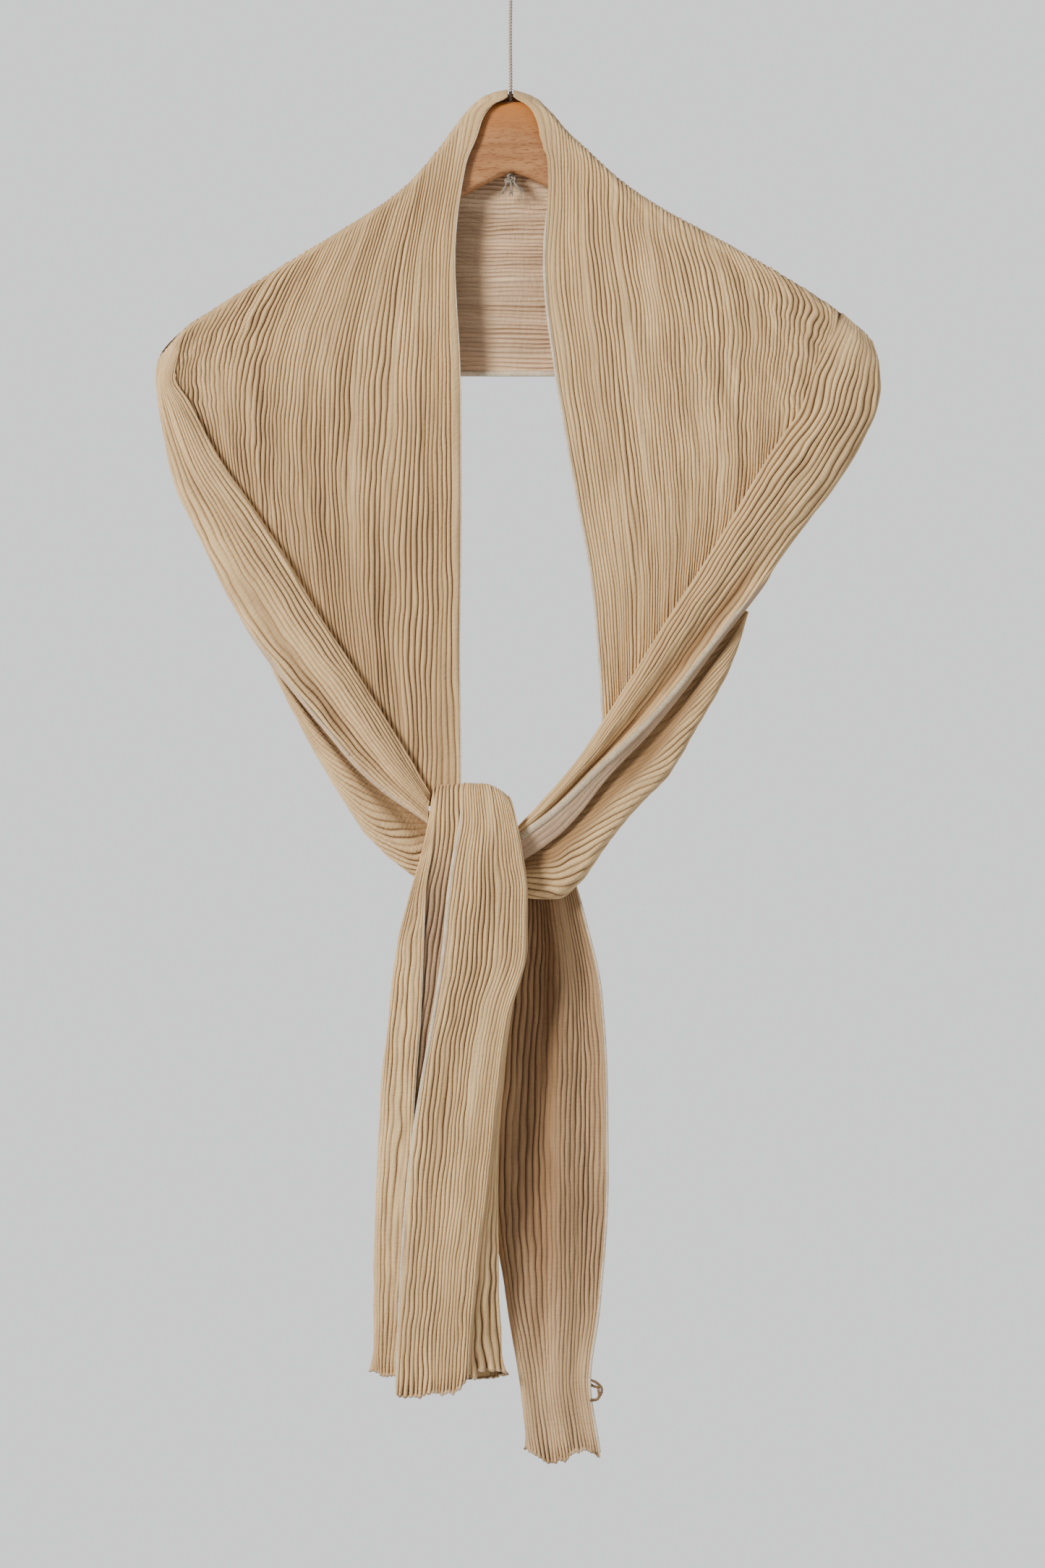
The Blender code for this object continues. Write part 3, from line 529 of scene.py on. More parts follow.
def tube(name, path, radius, material, sides=8, flat=1.0, lobes=0, twist=0.0):
    """A closed tube along a path in metres. lobes and twist, in turns a metre, make it plied."""
    path = np.asarray(path, float)
    count = len(path)
    radius = np.broadcast_to(radius, (count,))
    tangent = np.gradient(path, axis=0)
    tangent /= np.linalg.norm(tangent, axis=1, keepdims=True)
    distance = np.concatenate([[0], np.cumsum(np.linalg.norm(np.diff(path, axis=0), axis=1))])
    side = np.empty_like(path)
    guess = np.array((0.13, 1.0, 0.21))  # any direction that no path runs along
    for i, forward in enumerate(tangent):
        guess = guess - guess.dot(forward) * forward
        guess /= np.linalg.norm(guess)
        side[i] = guess
    other = np.cross(tangent, side)
    angle = np.linspace(0, 2 * math.pi, sides, endpoint=False)
    turned = angle[None, :] - 2 * math.pi * twist * distance[:, None]
    reach = radius[:, None] * (1 if not lobes else 0.8 + 0.2 * np.cos(lobes * turned))
    rings = (
        path[:, None]
        + (reach * flat * np.cos(angle))[..., None] * side[:, None]
        + (reach * np.sin(angle))[..., None] * other[:, None]
    )
    made = closed_rings(name, rings, 1, material)
    # Where the strands meet, for the painted shade in the twine's grooves.
    if lobes:
        put_values(made, {"relief": 0.5 + 0.5 * np.cos(lobes * turned)})
    return made


def eased_line(points, reach):
    """A line with its small kinks taken out."""
    padded = np.pad(points, ((reach, reach), (0, 0)), mode="edge")
    kernel = np.hanning(2 * reach + 3)[1:-1]
    kernel /= kernel.sum()
    return np.stack([np.convolve(padded[:, k], kernel, "valid") for k in range(3)], axis=-1)


# The cloth's stretches, as in the part and with finer rows


def panel_across(panel, pleat, drop):
    """Where a pleat of a front panel lies at a given drop."""
    ridge, inner, outer = panel.ridge, panel.inner, panel.outer
    start = ridge.drop[-1]
    near = smooth(drop, inner.drop, inner.across)
    on_ridge = drop < start
    over, under = smooth(drop, ridge.drop, ridge.across), smooth(drop, outer.drop, outer.across)
    far = np.where(on_ridge, over, under)
    reached = np.maximum(smooth(drop, ridge.drop, ridge.pleat), 1e-6)
    low = np.clip((drop - start) / 240, 0, 1)
    power = 1 + panel.crowding * low**1.5
    share = np.where(on_ridge, np.minimum(pleat / reached, 1), 1 - (1 - pleat) ** power)
    return near + share * (far - near)


def easy_across(panel, pleat, drop, start):
    """panel_across without its corners: the mean over a stretch of the pleat."""
    reach = np.clip(np.maximum(drop - start, 0) ** 1.5 / 6, 0, 30)
    places = np.linspace(-1, 1, 9)
    return sum(panel_across(panel, pleat, drop + at * reach) for at in places) / len(places)


def panel_end(panel, pleat):
    """The drop at which each pleat reaches the line where the panel ends."""
    end = panel.end
    drop = np.full_like(pleat, 400.0)
    for _ in range(80):
        across = panel_across(panel, pleat, drop)
        drop = drop + 0.35 * (np.interp(across, end.across, end.drop) - drop)
    return drop


def front_middle(panel):
    """The smooth surface of a front: over the hanger's edge and down to where it ends."""
    pleat = EVEN
    ridge = panel.ridge
    top_across = smooth(pleat, ridge.pleat, ridge.across)
    top_drop = smooth(pleat, ridge.pleat, ridge.drop)
    rows = []
    behind = -15 - 75 * (1 - ease(pleat, 0.02, 0.06))
    for share in np.linspace(0, 1, 14):
        angle = np.radians(behind + share * (90 - behind))
        drop = top_drop + WRAP * (1 - np.cos(angle)) * np.where(angle > 0, 0.9, 0.35)
        across = easy_across(panel, pleat, drop, top_drop)
        across = top_across + (across - top_across) * np.where(angle > 0, np.sin(angle) ** 2, 0)
        rows.append(place(across, -WRAP * np.sin(angle), drop))
    first = top_drop + WRAP * 0.9
    last = panel_end(panel, pleat)
    for share in np.linspace(0, 1, int(430 / ROW_STEP))[1:]:
        drop = first + share * (last - first)
        across = easy_across(panel, pleat, drop, top_drop)
        lapel = LAPEL_ROLL * np.exp(-pleat / 0.05) * math.sin(math.pi * share)
        depth = -WRAP - 0.8 * math.sin(math.pi * share) - lapel
        rows.append(place(across, depth, drop))
    return np.array(rows)


def back_middle():
    """The smooth surface of the stretch behind the hanger, from its left end to its right."""
    drop = np.linspace(BACK_TOP, BACK_BOTTOM, len(EVEN))
    ends = []
    for ridge, outer in ((LEFT_RIDGE, LEFT_BAND), (RIGHT_RIDGE, RIGHT_BAND)):
        sign = math.copysign(1, ridge.across[-1])
        keys = np.append(ridge.drop, outer.edge_drop[:2])
        values = np.append(ridge.across, outer.edge_across[:2] - sign)
        ends.append(smooth(drop, keys, values))
    rows = []
    turn_in = 0.05 * (0.5 - 0.5 * np.cos(np.linspace(0, math.pi, 9)))
    shares = np.concatenate([turn_in, np.linspace(0.05, 0.95, 160)[1:-1], 1 - turn_in[::-1]])
    for share in shares:
        across = ends[0] + share * (ends[1] - ends[0])
        inward = np.minimum(across - ends[0], ends[1] - across)
        turn = np.clip(inward / 10, 0.004, 1)
        depth = WRAP * np.sqrt(1 - (1 - turn) ** 2)
        low = np.clip((drop - 150) / 107, 0, 1)
        depth = np.maximum(depth, 1.2) + 1.5 * low * np.sin(math.pi * share)
        rows.append(place(across, depth, drop))
    return np.array(rows)


def finer(rows_of, keys):
    """The table's columns at even steps along the distance given by keys."""
    at = np.linspace(keys[0], keys[-1], int((keys[-1] - keys[0]) / ROW_STEP))
    columns = {name: smooth(at, keys, column) for name, column in vars(rows_of).items()}
    return SimpleNamespace(**columns)


def each_row(rows_of):
    """The table's rows, one after another."""
    columns = vars(rows_of)
    return [SimpleNamespace(**dict(zip(columns, row))) for row in zip(*columns.values())]


def spot(row, name):
    """The (across, drop) of a named point, in one row or in all of them."""
    return np.stack([getattr(row, name + "_across"), getattr(row, name + "_drop")], axis=-1)


def through(keys, *columns):
    """Smooth curves across a section, each through its values at the keys."""
    return [smooth(EVEN, keys, column) for column in columns]


def band_section(row, width):
    """(along, depth) of a band's section, from the cloth tucked under its inner fold to its lip."""
    crown, lip, roll, end, tuck = row.crown, row.lip, row.roll, row.end_depth, row.tuck_depth
    keys = (0, 0.05, 0.09, 0.14, 0.36, 0.60, 0.80, 0.90, 1)
    start = (min(6, width * 0.3), 1, -0.4, 1.6, 0.34 * width)
    free = (*start, 0.7 * width, width, width + 0.5 * lip, width + lip)
    rolled = (*start, 0.66 * width, width - 1.2, width - 0.6, width - lip)
    along = np.array(free) * (1 - roll) + np.array(rolled) * roll
    fold = min(crown + 4.2, tuck - 1)
    under = end - crown
    start = (tuck, tuck - 0.3, 0.5 * (tuck + fold), fold, crown)
    free = (*start, crown + row.trough, crown + 0.8, crown + 2.2, crown + 4.5)
    rolled = (*start, crown + 1.2, crown + 0.45 * under, crown + 0.8 * under, end)
    depth = np.array(free) * (1 - roll) + np.array(rolled) * roll
    return through(keys, along, depth)


def strand_section(row, width):
    """(along, depth) of a strand's section, from its hidden edge over its crown and behind."""
    crown, end = row.crown, row.end_depth
    cover = row.cover * width
    left = width - cover
    keys = (0, 0.14, 0.28, 0.42, 0.62, 0.74, 0.84, 1)
    along = (0, 0.5 * cover, cover, cover + 0.3 * left, cover + 0.8 * left)
    along += (width - 0.6, width - 2, width - 2 - row.back)
    depth = (-9.5, -10.6, -11.7, crown + 0.5, crown + 1, 0.5 * (crown + end), end - 1.5, end)
    return through(keys, along, depth)


def sections_middle(rows_of, section, ends):
    """The smooth surface through one section after another, each between two named points."""
    line = (spot(rows_of, ends[0]) + spot(rows_of, ends[1])) / 2
    step = np.linalg.norm(np.diff(line, axis=0), axis=1)
    fine = finer(rows_of, np.concatenate([[0], np.cumsum(step)]))
    rows = []
    for row in each_row(fine):
        start, end = (spot(row, name) for name in ends)
        width = np.linalg.norm(end - start)
        direction = (end - start) / width
        along, depth = section(row, width)
        across = start[0] + along * direction[0]
        rows.append(place(across, depth, start[1] + along * direction[1]))
    return np.array(rows), fine


def front_tail_section(row):
    """(across, inward) of the tube of cloth: slit edge, front, right side, back, left flap."""
    thick, left, right, side = row.thick, row.left, row.right, row.side
    bend = 0.22 * thick
    keys = (0, 0.38, 0.42, 0.50, 0.54, 0.80, 0.84, 1)
    across = (row.selvedge, right - 2, right, side, side - 2, left + 2, left, row.flap)
    inward = (0.2, 0, bend, thick - bend, thick, thick * 0.95, thick * 0.6, bend)
    return through(keys, across, inward)


def inner_layer_section(row):
    """(across, inward) of the layer that shows in the slit, between the flap and the front."""
    sunk = row.sunk
    hidden = (1 - sunk) * (row.left + 0.6) + sunk * 0.5 * (row.left + row.flap)
    across = hidden + EVEN * (row.selvedge + 4 - hidden)
    inward = 0.7 + 1.6 * (1 - EVEN) ** 6 * (1 - sunk) + sunk * row.thick * (0.5 - 0.2 * EVEN)
    return across, inward


def path_normals(drop, depth):
    """Which way is outward (depth, drop) at each point of a path seen from the side."""
    slope_drop, slope_depth = np.gradient(drop), np.gradient(depth)
    length = np.hypot(slope_drop, slope_depth)
    return -slope_drop / length, slope_depth / length


def front_tail_middle(section, first=0, last=None):
    """The smooth surface of a layer of the end that comes over the knot and down the front."""
    step = np.hypot(np.diff(FRONT_TAIL.drop), np.diff(FRONT_TAIL.depth))
    fine = finer(FRONT_TAIL, np.concatenate([[0], np.cumsum(step)]))
    fine.out_depth, fine.out_drop = path_normals(fine.drop, fine.depth)
    fine.in_front = np.arange(len(fine.drop)) > len(fine.drop) / 2
    share = EVEN
    rows = []
    for row in each_row(fine)[first:last]:
        across, inward = section(row)
        depth = row.depth - inward * row.out_depth
        drop = row.drop - inward * row.out_drop
        corner = 12 * np.clip((across + 19) / 21, 0, 1.2) ** 2
        corner = corner + np.clip((-27 - across) / 22, 0, 1)
        drop = drop + row.round * corner
        if section is front_tail_section:
            low = np.clip((row.drop - 700) / 193, 0, 1) * row.in_front
            bulge = 9 - 80 * (share - 0.14) ** 2 / 0.5 - 2.5 * ease(share, 0.2, 0.4)
            drop = drop + low * bulge * np.clip((0.44 - share) / 0.05, 0, 1)
            raised = ease(share, 0.74, 0.84) + 1 - ease(share, 0.44, 0.53)
            drop = drop - low * 5 * raised * (share > 0.44)
            drop = drop + low**6 * 1.6 * np.sin(21 * share + 1)
        rows.append(place(across, depth, drop))
    return np.array(rows)


def rear_tail_middle():
    """The smooth surface of the end that hangs behind."""
    keys = (0, 0.1, 0.24, 0.34, 0.48, 0.52, 0.56, 0.78, 1)
    rows = []
    for row in each_row(finer(REAR_TAIL, REAR_TAIL.drop)):
        left, right, fold = row.left, row.right, row.fold_depth
        width = right - left
        across = (right, right - 0.18 * width, right - 0.42 * width, right - 0.6 * width)
        across += (left + 2, left, left + 2, left + 0.5 * width, row.back_right)
        depth = (1, fold * 0.7, 0, fold, 1.5, 4.5, 8.5, 10.5, 9.5)
        across, depth = through(keys, across, depth)
        low = np.clip((row.drop - 860) / 84, 0, 1) ** 2
        drop = row.drop + low * smooth(across, REAR_END.across, REAR_END.lower)
        rows.append(place(across, row.depth + depth, drop))
    return np.array(rows)


# Materials


def blank(name):
    """A new material and its node tree."""
    made = bpy.data.materials.new(name)
    made.use_nodes = True
    return made, made.node_tree


def set_inputs(node, **inputs):
    """Plain values on a node's named inputs."""
    for key, value in inputs.items():
        node.inputs[key.replace("_", " ")].default_value = value


def add_node(tree, kind, source=None, **inputs):
    """A node with plain values on its inputs, fed from source on its vector or first input."""
    made = tree.nodes.new(kind)
    set_inputs(made, **inputs)
    if source is not None:
        tree.links.new(source, made.inputs.get("Vector") or made.inputs[0])
    return made


def attribute(tree, name):
    """The number stored under a name at each point."""
    made = tree.nodes.new("ShaderNodeAttribute")
    made.attribute_name = name
    return made.outputs["Fac"]


def own_places(tree):
    """Where each point lies in the object's own frame."""
    return tree.nodes.new("ShaderNodeTexCoord").outputs["Object"]


def mix_colour(tree, factor, first, second, blend="MIX"):
    """A colour node's output; factor, first and second are outputs or plain values."""
    made = tree.nodes.new("ShaderNodeMix")
    made.data_type = "RGBA"
    made.blend_type = blend
    sockets = (made.inputs[0], made.inputs[6], made.inputs[7])
    for socket, value in zip(sockets, (factor, first, second)):
        if isinstance(value, bpy.types.NodeSocket):
            tree.links.new(value, socket)
        else:
            socket.default_value = value if isinstance(value, float) else (*value, 1)
    return made.outputs[2]


def ramp(tree, source, *stops):
    """Colours by the value of source."""
    made = add_node(tree, "ShaderNodeValToRGB", source)
    elements = made.color_ramp.elements
    while len(elements) < len(stops):
        elements.new(0.5)
    for element, (at, colour) in zip(elements, stops):
        element.position = at
        element.color = (*colour, 1)
    return made.outputs[0]


def noise(tree, source, scale, detail=2.0):
    """Noise with its own scale on each axis."""
    mapping = add_node(tree, "ShaderNodeMapping", source, Scale=scale)
    made = add_node(tree, "ShaderNodeTexNoise", mapping.outputs[0], Scale=1.0, Detail=detail)
    return made.outputs[0]


def multiply(tree, colour, source, dark, light, low=0.3, high=0.7):
    """The colour, darkened and lightened by a noise."""
    change = ramp(tree, source, (low, dark), (high, light))
    return mix_colour(tree, 1.0, colour, change, "MULTIPLY")


def dress(tree, colour, *bumps, **inputs):
    """The shader's colour, its other inputs, and bump as (height, strength, metres)."""
    shader = tree.nodes["Principled BSDF"]
    tree.links.new(colour, shader.inputs["Base Color"])
    set_inputs(shader, **inputs)
    before = None
    for height, strength, distance in bumps:
        made = tree.nodes.new("ShaderNodeBump")
        set_inputs(made, Strength=strength, Distance=distance)
        tree.links.new(height, made.inputs["Height"])
        if before is not None:
            tree.links.new(before.outputs[0], made.inputs["Normal"])
        before = made
    tree.links.new(before.outputs[0], shader.inputs["Normal"])


def cloth_material(name):
    """Matt cotton: painted shade, brown in the valleys and straw on the crests, a painted pinkish
    cast and painted shade where given, with streaks along the pleats.
    """
    made, tree = blank(name)
    cloth_map = tree.nodes.new("ShaderNodeUVMap")
    cloth_map.uv_map = "cloth"
    spots = cloth_map.outputs[0]
    # Painted shade: the valleys darker than the crests, then the painted pinkish cast and the
    # painted shade.
    colour = ramp(tree, attribute(tree, "relief"), (0.0, VALLEY_SHADE), (0.42, SLOPE_SHADE), (0.9, CREST))
    colour = mix_colour(tree, attribute(tree, "shade_tint"), colour, PINKISH_SHADE)
    colour = mix_colour(tree, attribute(tree, "shade"), colour, SHADED, "MULTIPLY")
    streaks = noise(tree, spots, (900, 40, 1))
    colour = multiply(tree, colour, streaks, (0.84, 0.81, 0.78), (1.1, 1.1, 1.1))
    groups = noise(tree, spots, (70, 5, 1), 1.0)
    colour = multiply(tree, colour, groups, (0.87, 0.84, 0.81), (1.08, 1.08, 1.08), 0.35, 0.65)
    blotches = noise(tree, own_places(tree), (24, 24, 16), 3.0)
    colour = multiply(tree, colour, blotches, (0.88, 0.86, 0.84), (1.08, 1.08, 1.07))
    weave = noise(tree, spots, (1400, 1400, 1), 1.0)
    crinkle = noise(tree, spots, (150, 620, 1))
    dress(tree, colour, (weave, 0.4, 0.0003), (crinkle, 0.6, 0.0010), Roughness=0.92,
          Specular_IOR_Level=0.2, Sheen_Weight=0.12, Sheen_Roughness=0.6)
    return made


def thread_material(name, light, dark):
    """Thread sewn over an edge, in two tones, with close cross stitches."""
    made, tree = blank(name)
    places = own_places(tree)
    stitches = noise(tree, places, (900, 900, 900), 1.0)
    colour = ramp(tree, noise(tree, places, (90, 90, 90)), (0.35, dark), (0.62, light))
    colour = multiply(tree, colour, stitches, (0.8, 0.78, 0.75), (1.08, 1.08, 1.08))
    dress(tree, colour, (stitches, 0.5, 0.0003), Roughness=0.9, Specular_IOR_Level=0.2)
    return made


def twine_material(name, dark, light):
    """Undyed twine, with painted shade in the groove between its strands."""
    made, tree = blank(name)
    fibres = noise(tree, own_places(tree), (1500, 1500, 700))
    # Painted shade in the grooves.
    colour = ramp(tree, attribute(tree, "relief"), (0.0, dark), (0.55, light))
    colour = multiply(tree, colour, fibres, (0.75, 0.73, 0.7), (1.1, 1.1, 1.1))
    dress(tree, colour, (fibres, 0.5, 0.0003), Roughness=0.88)
    return made


def wood_material(name):
    """Oiled beech: pale grain with short darker flecks, and a painted amber highlight along its
    rounded top.
    """
    made, tree = blank(name)
    places = own_places(tree)
    grain = noise(tree, places, (14, 60, 170), 4.0)
    colour = ramp(tree, grain, (0.28, DARK_WOOD), (0.5, WOOD), (0.72, LIGHT_WOOD))
    flecks = noise(tree, places, (230, 300, 1500), 1.0)
    colour = multiply(tree, colour, flecks, (1, 1, 1), (0.66, 0.55, 0.46), 0.53, 0.66)
    # Painted highlight: amber along the rounded top.
    colour = mix_colour(tree, attribute(tree, "edge"), colour, AMBER_HIGHLIGHT)
    dress(tree, colour, (grain, 0.1, 0.0004), (flecks, 0.2, 0.0002), Roughness=0.38,
          Coat_Weight=0.15, Coat_Roughness=0.3)
    return made


# Pieces


def settle(piece):
    """Ties a piece to the part's one body."""
    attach(piece, "root")


def hanger(name, material):
    """The wooden shoulder piece: a rounded bar lofted along its arms."""
    half = HANGER_OUTLINE.across[-1]
    across = half * np.sin(np.linspace(-math.pi / 2, math.pi / 2, 161))
    top = smooth(abs(across), HANGER_OUTLINE.across, HANGER_OUTLINE.top)
    bottom = smooth(abs(across), HANGER_OUTLINE.across, HANGER_OUTLINE.bottom)
    angle = np.linspace(0, 2 * math.pi, 28, endpoint=False)
    sine, cosine = np.sin(angle), np.cos(angle)
    rings, edge = [], []
    for x, high, low in zip(across, top, bottom):
        tall = max((low - high) / 2, 0.8)
        deep = HANGER_THICK / 2 * min(1, 0.35 + tall / 8)
        rounding = min(HANGER_ROUND, tall, deep)
        up = np.sign(sine) * (tall - rounding) * ease(abs(sine), 0.0, 0.25) + rounding * sine
        out = np.sign(cosine) * (deep - rounding) * ease(abs(cosine), 0.0, 0.25)
        rings.append(place(x, out + rounding * cosine, (high + low) / 2 - up))
        # Where the painted amber highlight lies, along the rounded top.
        edge.append(ease(up, tall - 8, tall - 4) * 0.9)
    made = closed_rings(name, np.array(rings), -1, material)
    put_values(made, {"edge": np.array(edge)})
    made.location.z = -HANGER_TOP * MM
    made.rotation_euler.y = HANGER_TILT
    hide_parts("hanger")
    settle(made)


def knot_path(radius, centre, tall, count=90):
    """A trefoil, which is how a tight overhand knot lies."""
    t = np.linspace(0, 2 * math.pi, count)
    across = (np.sin(t) + 1.7 * np.sin(2 * t)) / 2.7 * radius
    drop = (np.cos(t) - 1.7 * np.cos(2 * t)) / 2.7 * radius * tall
    depth = -np.sin(3 * t) * radius * 0.45
    return place(across + centre[0], depth + centre[1], drop + centre[2])


def twine(material, shaded_knot_material):
    """The twine from its loop, down through the hanger, to the stop knot and its frayed ends, which
    take a darker copy of the twine with painted shade.
    """
    start = LOOP_KNOT_DROP + KNOT_RADIUS + SEAM_GAP
    length = STOP_KNOT_DROP - KNOT_RADIUS - LOOP_KNOT_DROP - KNOT_RADIUS - 2 * SEAM_GAP
    drop = start + np.linspace(0, length, 300)
    path = place(0.12 * np.sin(drop / 9), 0.1 * np.cos(drop / 11), drop)
    angle = LOOP_OPEN + np.linspace(0, 2 * math.pi - 2 * LOOP_OPEN, 120)
    lengthen = 0.5 + 0.5 * np.cos(angle)
    across = LOOP_RADIUS * np.sin(angle) * (1 - 0.35 * lengthen)
    fall = LOOP_RADIUS * 1.15 * (1 + np.cos(angle)) - TWINE_RADIUS
    ring = place(across, 0, fall)
    top_knot = knot_path(2.4, (0, 0, LOOP_KNOT_DROP), 1.1)
    stop_knot = knot_path(3.1, (0, -0.6, STOP_KNOT_DROP + 0.4), 1.0)
    pieces = []
    for node, name, line, radius, fibre in (
        ("twine", "twine_run", path, TWINE_RADIUS, material),
        ("twine_loop", "twine_ring", ring, TWINE_RADIUS, material),
        ("twine_loop_knot", "twine_top_knot", top_knot, 1.0, material),
        ("twine_stop_knot", "twine_bottom_knot", stop_knot, 1.25, shaded_knot_material),
    ):
        pieces.append(tube(name, line, radius * MM, fibre, **PLIED))
        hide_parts(node)
        settle(pieces[-1])
    frayed_ends(shaded_knot_material)


def frayed_ends(material):
    """The short ends below the stop knot, each of a few loose strands, in the twine with painted
    shade.
    """
    random = np.random.default_rng(31)
    count = 16
    t = np.linspace(0, 1, count)[:, None]
    radius = np.linspace(0.85, 0.4, count) * MM
    for side, points in FRAYED_ENDS.items():
        top, bend, tip = np.array(points)
        for strand in range(5):
            spread = random.uniform(-1.5, 1.5, (1, 3)) * (1, 0.5, 1)
            start_off = random.uniform(-0.5, 0.5, (1, 3))
            line = (1 - t) ** 2 * top + 2 * t * (1 - t) * bend + t * t * tip
            line = line + start_off * (1 - t) + spread * t**1.5
            name = f"twine_{side}_strand_{strand + 1}"
            piece = tube(name, place(*line.T), radius, material, **LOOSE)
            if strand == 0 and side != "front":
                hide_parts("twine_end_" + side)
            settle(piece)


def edging(name, line, radius, material, flat=1.0, reach=3, end_radius=None):
    """Thread over an edge: a tube along a line of the cloth, thin where it starts."""
    radii = np.linspace(radius, radius if end_radius is None else end_radius, len(line))
    radii = radii * ease(np.arange(len(line)), -4, 12) * MM
    made = tube(name, eased_line(line, reach), radii, material, flat=flat)
    settle(made)
    return made


def hanging_thread(name, material):
    """A thread end that curls out of the rear tail's right edge and back into it, twice."""
    turn = np.linspace(0, 2 * math.pi, 90)
    across = 50.6 + 7.6 * abs(np.sin(turn)) * (1 - 0.05 * turn) + 0.5 * np.sin(5 * turn)
    drop = 903.5 - 7.4 * np.cos(turn) * (1 - 0.07 * turn) + 0.8 * np.sin(3.6 * turn)
    depth = 0.8 + 1.8 * np.sin(1.5 * turn)
    radius = 1.05 * MM
    made = tube(name, place(across, depth, drop), radius, material, 10, lobes=2, twist=300.0)
    settle(made)
    return made


def declare(cloth, nodes):
    """Hides the parts that a stretch of cloth replaces, and ties it to the part's one body."""
    if nodes:
        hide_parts(*nodes)
    settle(cloth.made)


# Stretches: pleats, seed, side that shows, then the depth, painted pinkish cast of shade and
# painted shade of the pleats


def fronts(cotton, cream):
    """Both fronts: softer along the top of the lapel, and painted shade on the left one, deeper low
    down.
    """
    middle = front_middle(LEFT_PANEL)
    row = np.arange(len(middle))[:, None]
    low = ease(row / len(middle), 0.3, 0.7)
    high_up = 0.35 + 0.2 * ease(EVEN, 0, 0.03) + 0.45 * ease(EVEN, 0.03, 0.2)
    low_down = 0.8 + 0.2 * ease(EVEN, 0, 0.05)
    lapel = high_up + low * (low_down - high_up)
    depth = lapel * (0.55 + 0.45 * ease(row, 8, 30))
    # Painted shade on the left front, deeper low down.
    left_shade = 0.12 + 0.2 * low + 0 * EVEN
    left = Cloth("left_front_cloth", middle, cotton, 62, 11, 1, depth, shade=left_shade, crimp=0.2)
    hem = edging("left_lapel_hem", left.line(0.0)[14:], 0.4, cream)
    declare(left, ["front_left"])
    middle = front_middle(RIGHT_PANEL)
    right = Cloth("right_front_cloth", middle, cotton, 66, 12, -1, depth, crimp=0.2)
    hem = edging("right_lapel_hem", right.line(0.0)[46:], 1.0, cream, 0.7)
    declare(right, ["front_right"])


def back_stretch(cotton, cream):
    """The stretch behind the hanger, flat at its two ends, with the pinkish cast of painted shade.
    """
    middle = back_middle()
    from_end = np.minimum(np.arange(len(middle)), np.arange(len(middle))[::-1])
    depth = np.clip(from_end / 14, 0.12, 1)[:, None] + 0 * EVEN
    # A painted pinkish cast of shade over the whole back.
    back = Cloth("back_cloth", middle, cotton, 66, 13, -1, depth, [0.6], swell=0.3)
    hem = edging("back_hem", back.line(1.0)[10:-10], 1.7, cream, 0.55)
    declare(back, ["back_panel"])


def bands(cotton, selvedge):
    """Both bands: calm at the fold and the shoulder, with painted shade along a trough, and a
    turned-up edge with a painted pinkish cast of shade, and on the right painted shade, under it.
    """
    calm = np.clip((EVEN - 0.06) / 0.08, 0.1, 1)
    valley = np.exp(-(((EVEN - 0.62) / 0.07) ** 2))
    edge = ease(EVEN, 0.80, 0.83)
    for side, rows_of, seed, outward in (("left", LEFT_BAND, 14, 1), ("right", RIGHT_BAND, 15, -1)):
        middle, fine = sections_middle(rows_of, band_section, ("inner", "edge"))
        free = (1 - fine.roll)[:, None]
        if side == "left":
            lip, calmer = free * edge, 0.5
            # Painted shade along the trough.
            trough = 0.5 * free * valley
            shown = (free[:, 0] > 0.9) & (fine.edge_drop < 500)
            sewn, thread = 0.81, (0.5, selvedge)
        else:
            lip, calmer = ease(free, 0.8, 1) * edge, 0.8
            # Painted shade along the trough and on the underside of the turned-up edge.
            trough = free * valley + 0.4 * lip * ease(EVEN, 0.84, 0.88)
            shown = fine.edge_drop > 394
            sewn, thread = 0.80, (1.3, selvedge, 0.5, 8, 2.6)
        rise = ease(np.arange(len(middle)), 0, 18)[:, None] * 0.8 + 0.2
        depth = rise * calm * (1 - calmer * lip)
        # 0.7 * lip paints the pinkish cast of shade under the edge; trough paints the shade.
        band = Cloth(side + "_band_cloth", middle, cotton, 17, seed, outward, depth, 0.7 * lip,
                     trough, 0.3)
        hem = edging(side + "_band_hem", band.line(sewn)[shown], *thread)
        declare(band, ["band_" + side])


def strands(cotton):
    """The inner pleats below each band, flat and with painted shade where the band covers them."""
    under = 0.25 + 0.75 * ease(EVEN, 0.3, 0.5)
    # Painted shade under the band's edge.
    dark = 0.9 - 0.9 * ease(EVEN, 0.36, 0.5)
    for side, rows_of, seed, outward, slant in (
        ("left", LEFT_STRAND, 16, 1, 21),
        ("right", RIGHT_STRAND, 17, -1, 20),
    ):
        middle, _ = sections_middle(rows_of, strand_section, ("hidden", "edge"))
        strand = Cloth(side + "_strand_cloth", middle, cotton, 18, seed, outward, under,
                       shade=dark, slant=slant)
        declare(strand, ["strand_" + side])


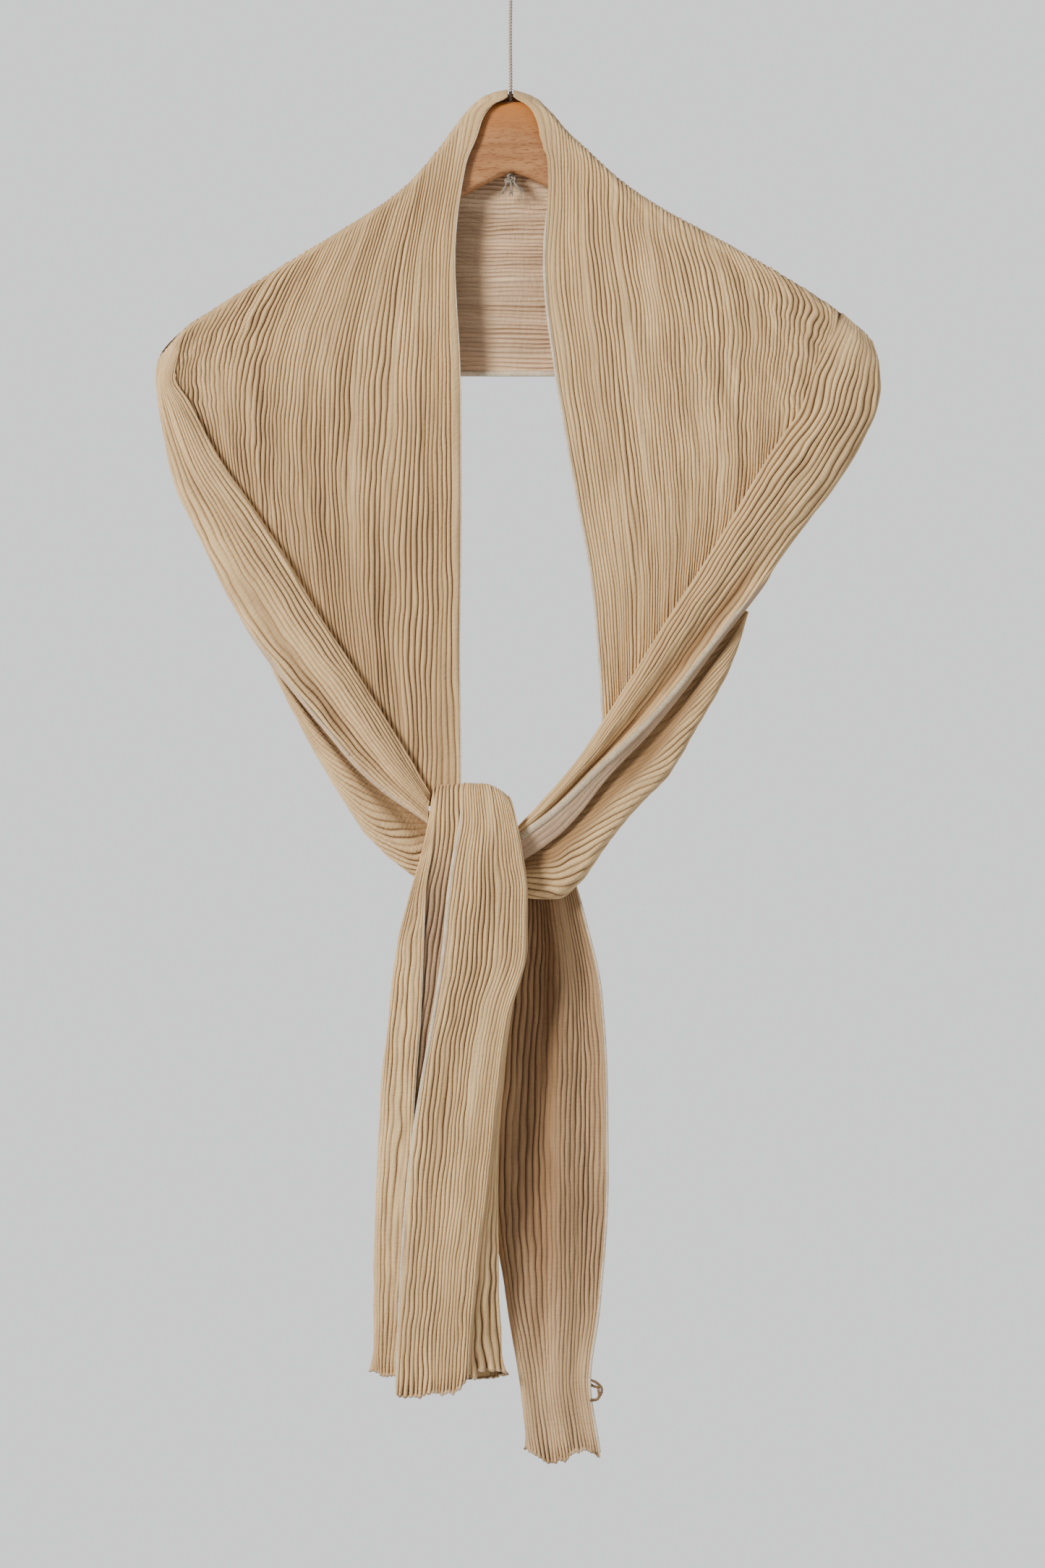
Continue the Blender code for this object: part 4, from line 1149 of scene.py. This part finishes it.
def front_tail(cotton, cream, brown):
    """The end over the knot, and the layer of it that shows in its slit, with painted shade and a
    painted pinkish cast low down in the slit.
    """
    middle = front_tail_middle(front_tail_section)
    tail = Cloth("front_tail_cloth", middle, cotton, 50, 18, -1, [1.18], swell=0.4, frill=1.5,
                 crimp=0.2)
    slit = edging("front_tail_slit_hem", tail.line(0.0)[50:], 1.5, cream, 0.7, 3, 0.8)
    flap = edging("front_tail_flap_hem", tail.line(1.0)[75:], 0.3, cream)
    end = edging("front_tail_end_hem", tail.points[-1], 0.75, brown, 1.0, 1)
    declare(tail, ["tail_front", "knot_core"])
    middle = front_tail_middle(inner_layer_section, 28, -50)
    # Painted shade and pinkish cast, lower down in the slit.
    slit_shade = ease(np.linspace(0, 1, len(middle))[:, None] + 0 * EVEN, 0.2, 0.4)
    inner = Cloth("inner_layer_cloth", middle, cotton, 8, 20, -1, shade_tint=0.5 * slit_shade,
                  shade=0.65 * slit_shade, swell=0.2)
    declare(inner, [])


def rear_tail(cotton, cream, brown, dark_brown):
    """The end behind, with painted shade from the front one, fading towards its foot, a painted
    pinkish cast, and its side seam and loose thread.
    """
    middle = rear_tail_middle()
    # Painted shade, darkest along the left fold and fading towards the cut end; a pinkish cast of
    # shade is painted over all of it.
    fold = 0.58 + 0.2 * ease(EVEN, 0.1, 0.3) + 0.16 * np.exp(-(((EVEN - 0.34) / 0.08) ** 2))
    fold = fold * (1 - 0.75 * ease(np.arange(len(middle)) / len(middle), 0.6, 0.97))[:, None]
    tail = Cloth("rear_tail_cloth", middle, cotton, 42, 19, 1, shade_tint=[0.25], shade=fold,
                 frill=1.5, crimp=0.1)
    side = edging("rear_tail_side_hem", tail.line(0.0), 0.9, cream, 0.7)
    end = edging("rear_tail_end_hem", tail.points[-1], 0.75, brown, 1.0, 1)
    thread = hanging_thread("rear_tail_thread", dark_brown)
    declare(tail, ["tail_rear"])


def scarf():
    """Every stretch of the scarf, with its sewn edges."""
    cotton = cloth_material("scarf_cotton")
    cream = thread_material("cream_thread", CREAM, (0.66, 0.54, 0.39))
    selvedge = thread_material("selvedge_thread", (0.66, 0.54, 0.375), (0.54, 0.43, 0.29))
    brown = thread_material("brown_thread", (0.60, 0.44, 0.27), (0.32, 0.20, 0.105))
    dark_brown = thread_material("dark_brown_thread", (0.38, 0.235, 0.12), (0.15, 0.085, 0.045))
    fronts(cotton, cream)
    back_stretch(cotton, cream)
    bands(cotton, selvedge)
    strands(cotton)
    front_tail(cotton, cream, brown)
    rear_tail(cotton, cream, brown, dark_brown)


def camera():
    """The photograph's view: from straight ahead, with its frame."""
    data = bpy.data.cameras.new("camera")
    made = in_scene("camera", data)
    across, drop = FRAME_MIDDLE
    made.location = (across * MM, -CAMERA_AWAY, -drop * MM)
    made.rotation_euler = (math.radians(90), 0, 0)
    data.sensor_width = 36
    data.lens = 36 * CAMERA_AWAY / (FRAME_TALL * PIXEL * MM)
    bpy.context.scene.camera = made


def light(name, at, size, power, colour):
    """A soft round light, aimed at the scarf's middle."""
    data = bpy.data.lights.new(name, "AREA")
    data.shape = "DISK"
    data.size = size
    data.energy = power
    data.color = colour
    made = in_scene(name, data)
    made.location = at
    aim = Vector((0, 0, -0.5)) - Vector(at)
    made.rotation_euler = aim.to_track_quat("-Z", "Y").to_euler()


def studio():
    """Soft light from the upper left, a pale surround that is brightest behind, and a floor."""
    world = bpy.data.worlds.new("studio")
    world.use_nodes = True
    tree = world.node_tree
    direction = tree.nodes.new("ShaderNodeTexCoord").outputs["Generated"]
    split = add_node(tree, "ShaderNodeSeparateXYZ", direction)
    shade = add_node(tree, "ShaderNodeMapRange", split.outputs["Y"], From_Min=0.3, From_Max=0.95,
                     To_Min=0.32, To_Max=1.14)
    background = tree.nodes["Background"]
    background.inputs["Color"].default_value = (0.97, 0.98, 1.0, 1)
    tree.links.new(shade.outputs[0], background.inputs["Strength"])
    bpy.context.scene.world = world
    light("window", (-1.75, -1.85, 0.5), 0.8, 96, (1.0, 0.985, 0.95))
    light("bounce", (1.9, -1.7, -0.4), 1.6, 10, (0.98, 0.985, 1.0))
    light("behind", (0.8, 1.9, 0.5), 1.4, 10, (1.0, 0.99, 0.97))
    half, level = 1.4, -1.42
    ways = ((-1, -1), (1, -1), (1, 1), (-1, 1))
    corners = [(x * half, y * half, level) for x, y in ways]
    pale, tree = blank("floor")
    set_inputs(tree.nodes["Principled BSDF"], Base_Color=(0.66, 0.66, 0.66, 1), Roughness=0.8)
    add_mesh("floor", corners, [(0, 1, 2, 3)], pale)


camera()
studio()
pale = twine_material("twine_cotton", (0.22, 0.17, 0.115), (0.58, 0.495, 0.38))
# A darker copy of the twine: painted shade on the stop knot and its ends.
shaded_twine = twine_material("twine_knot_shaded_cotton", (0.12, 0.09, 0.065), (0.34, 0.275, 0.21))
twine(pale, shaded_twine)
hanger("hanger_wood_bar", wood_material("hanger_wood"))
scarf()
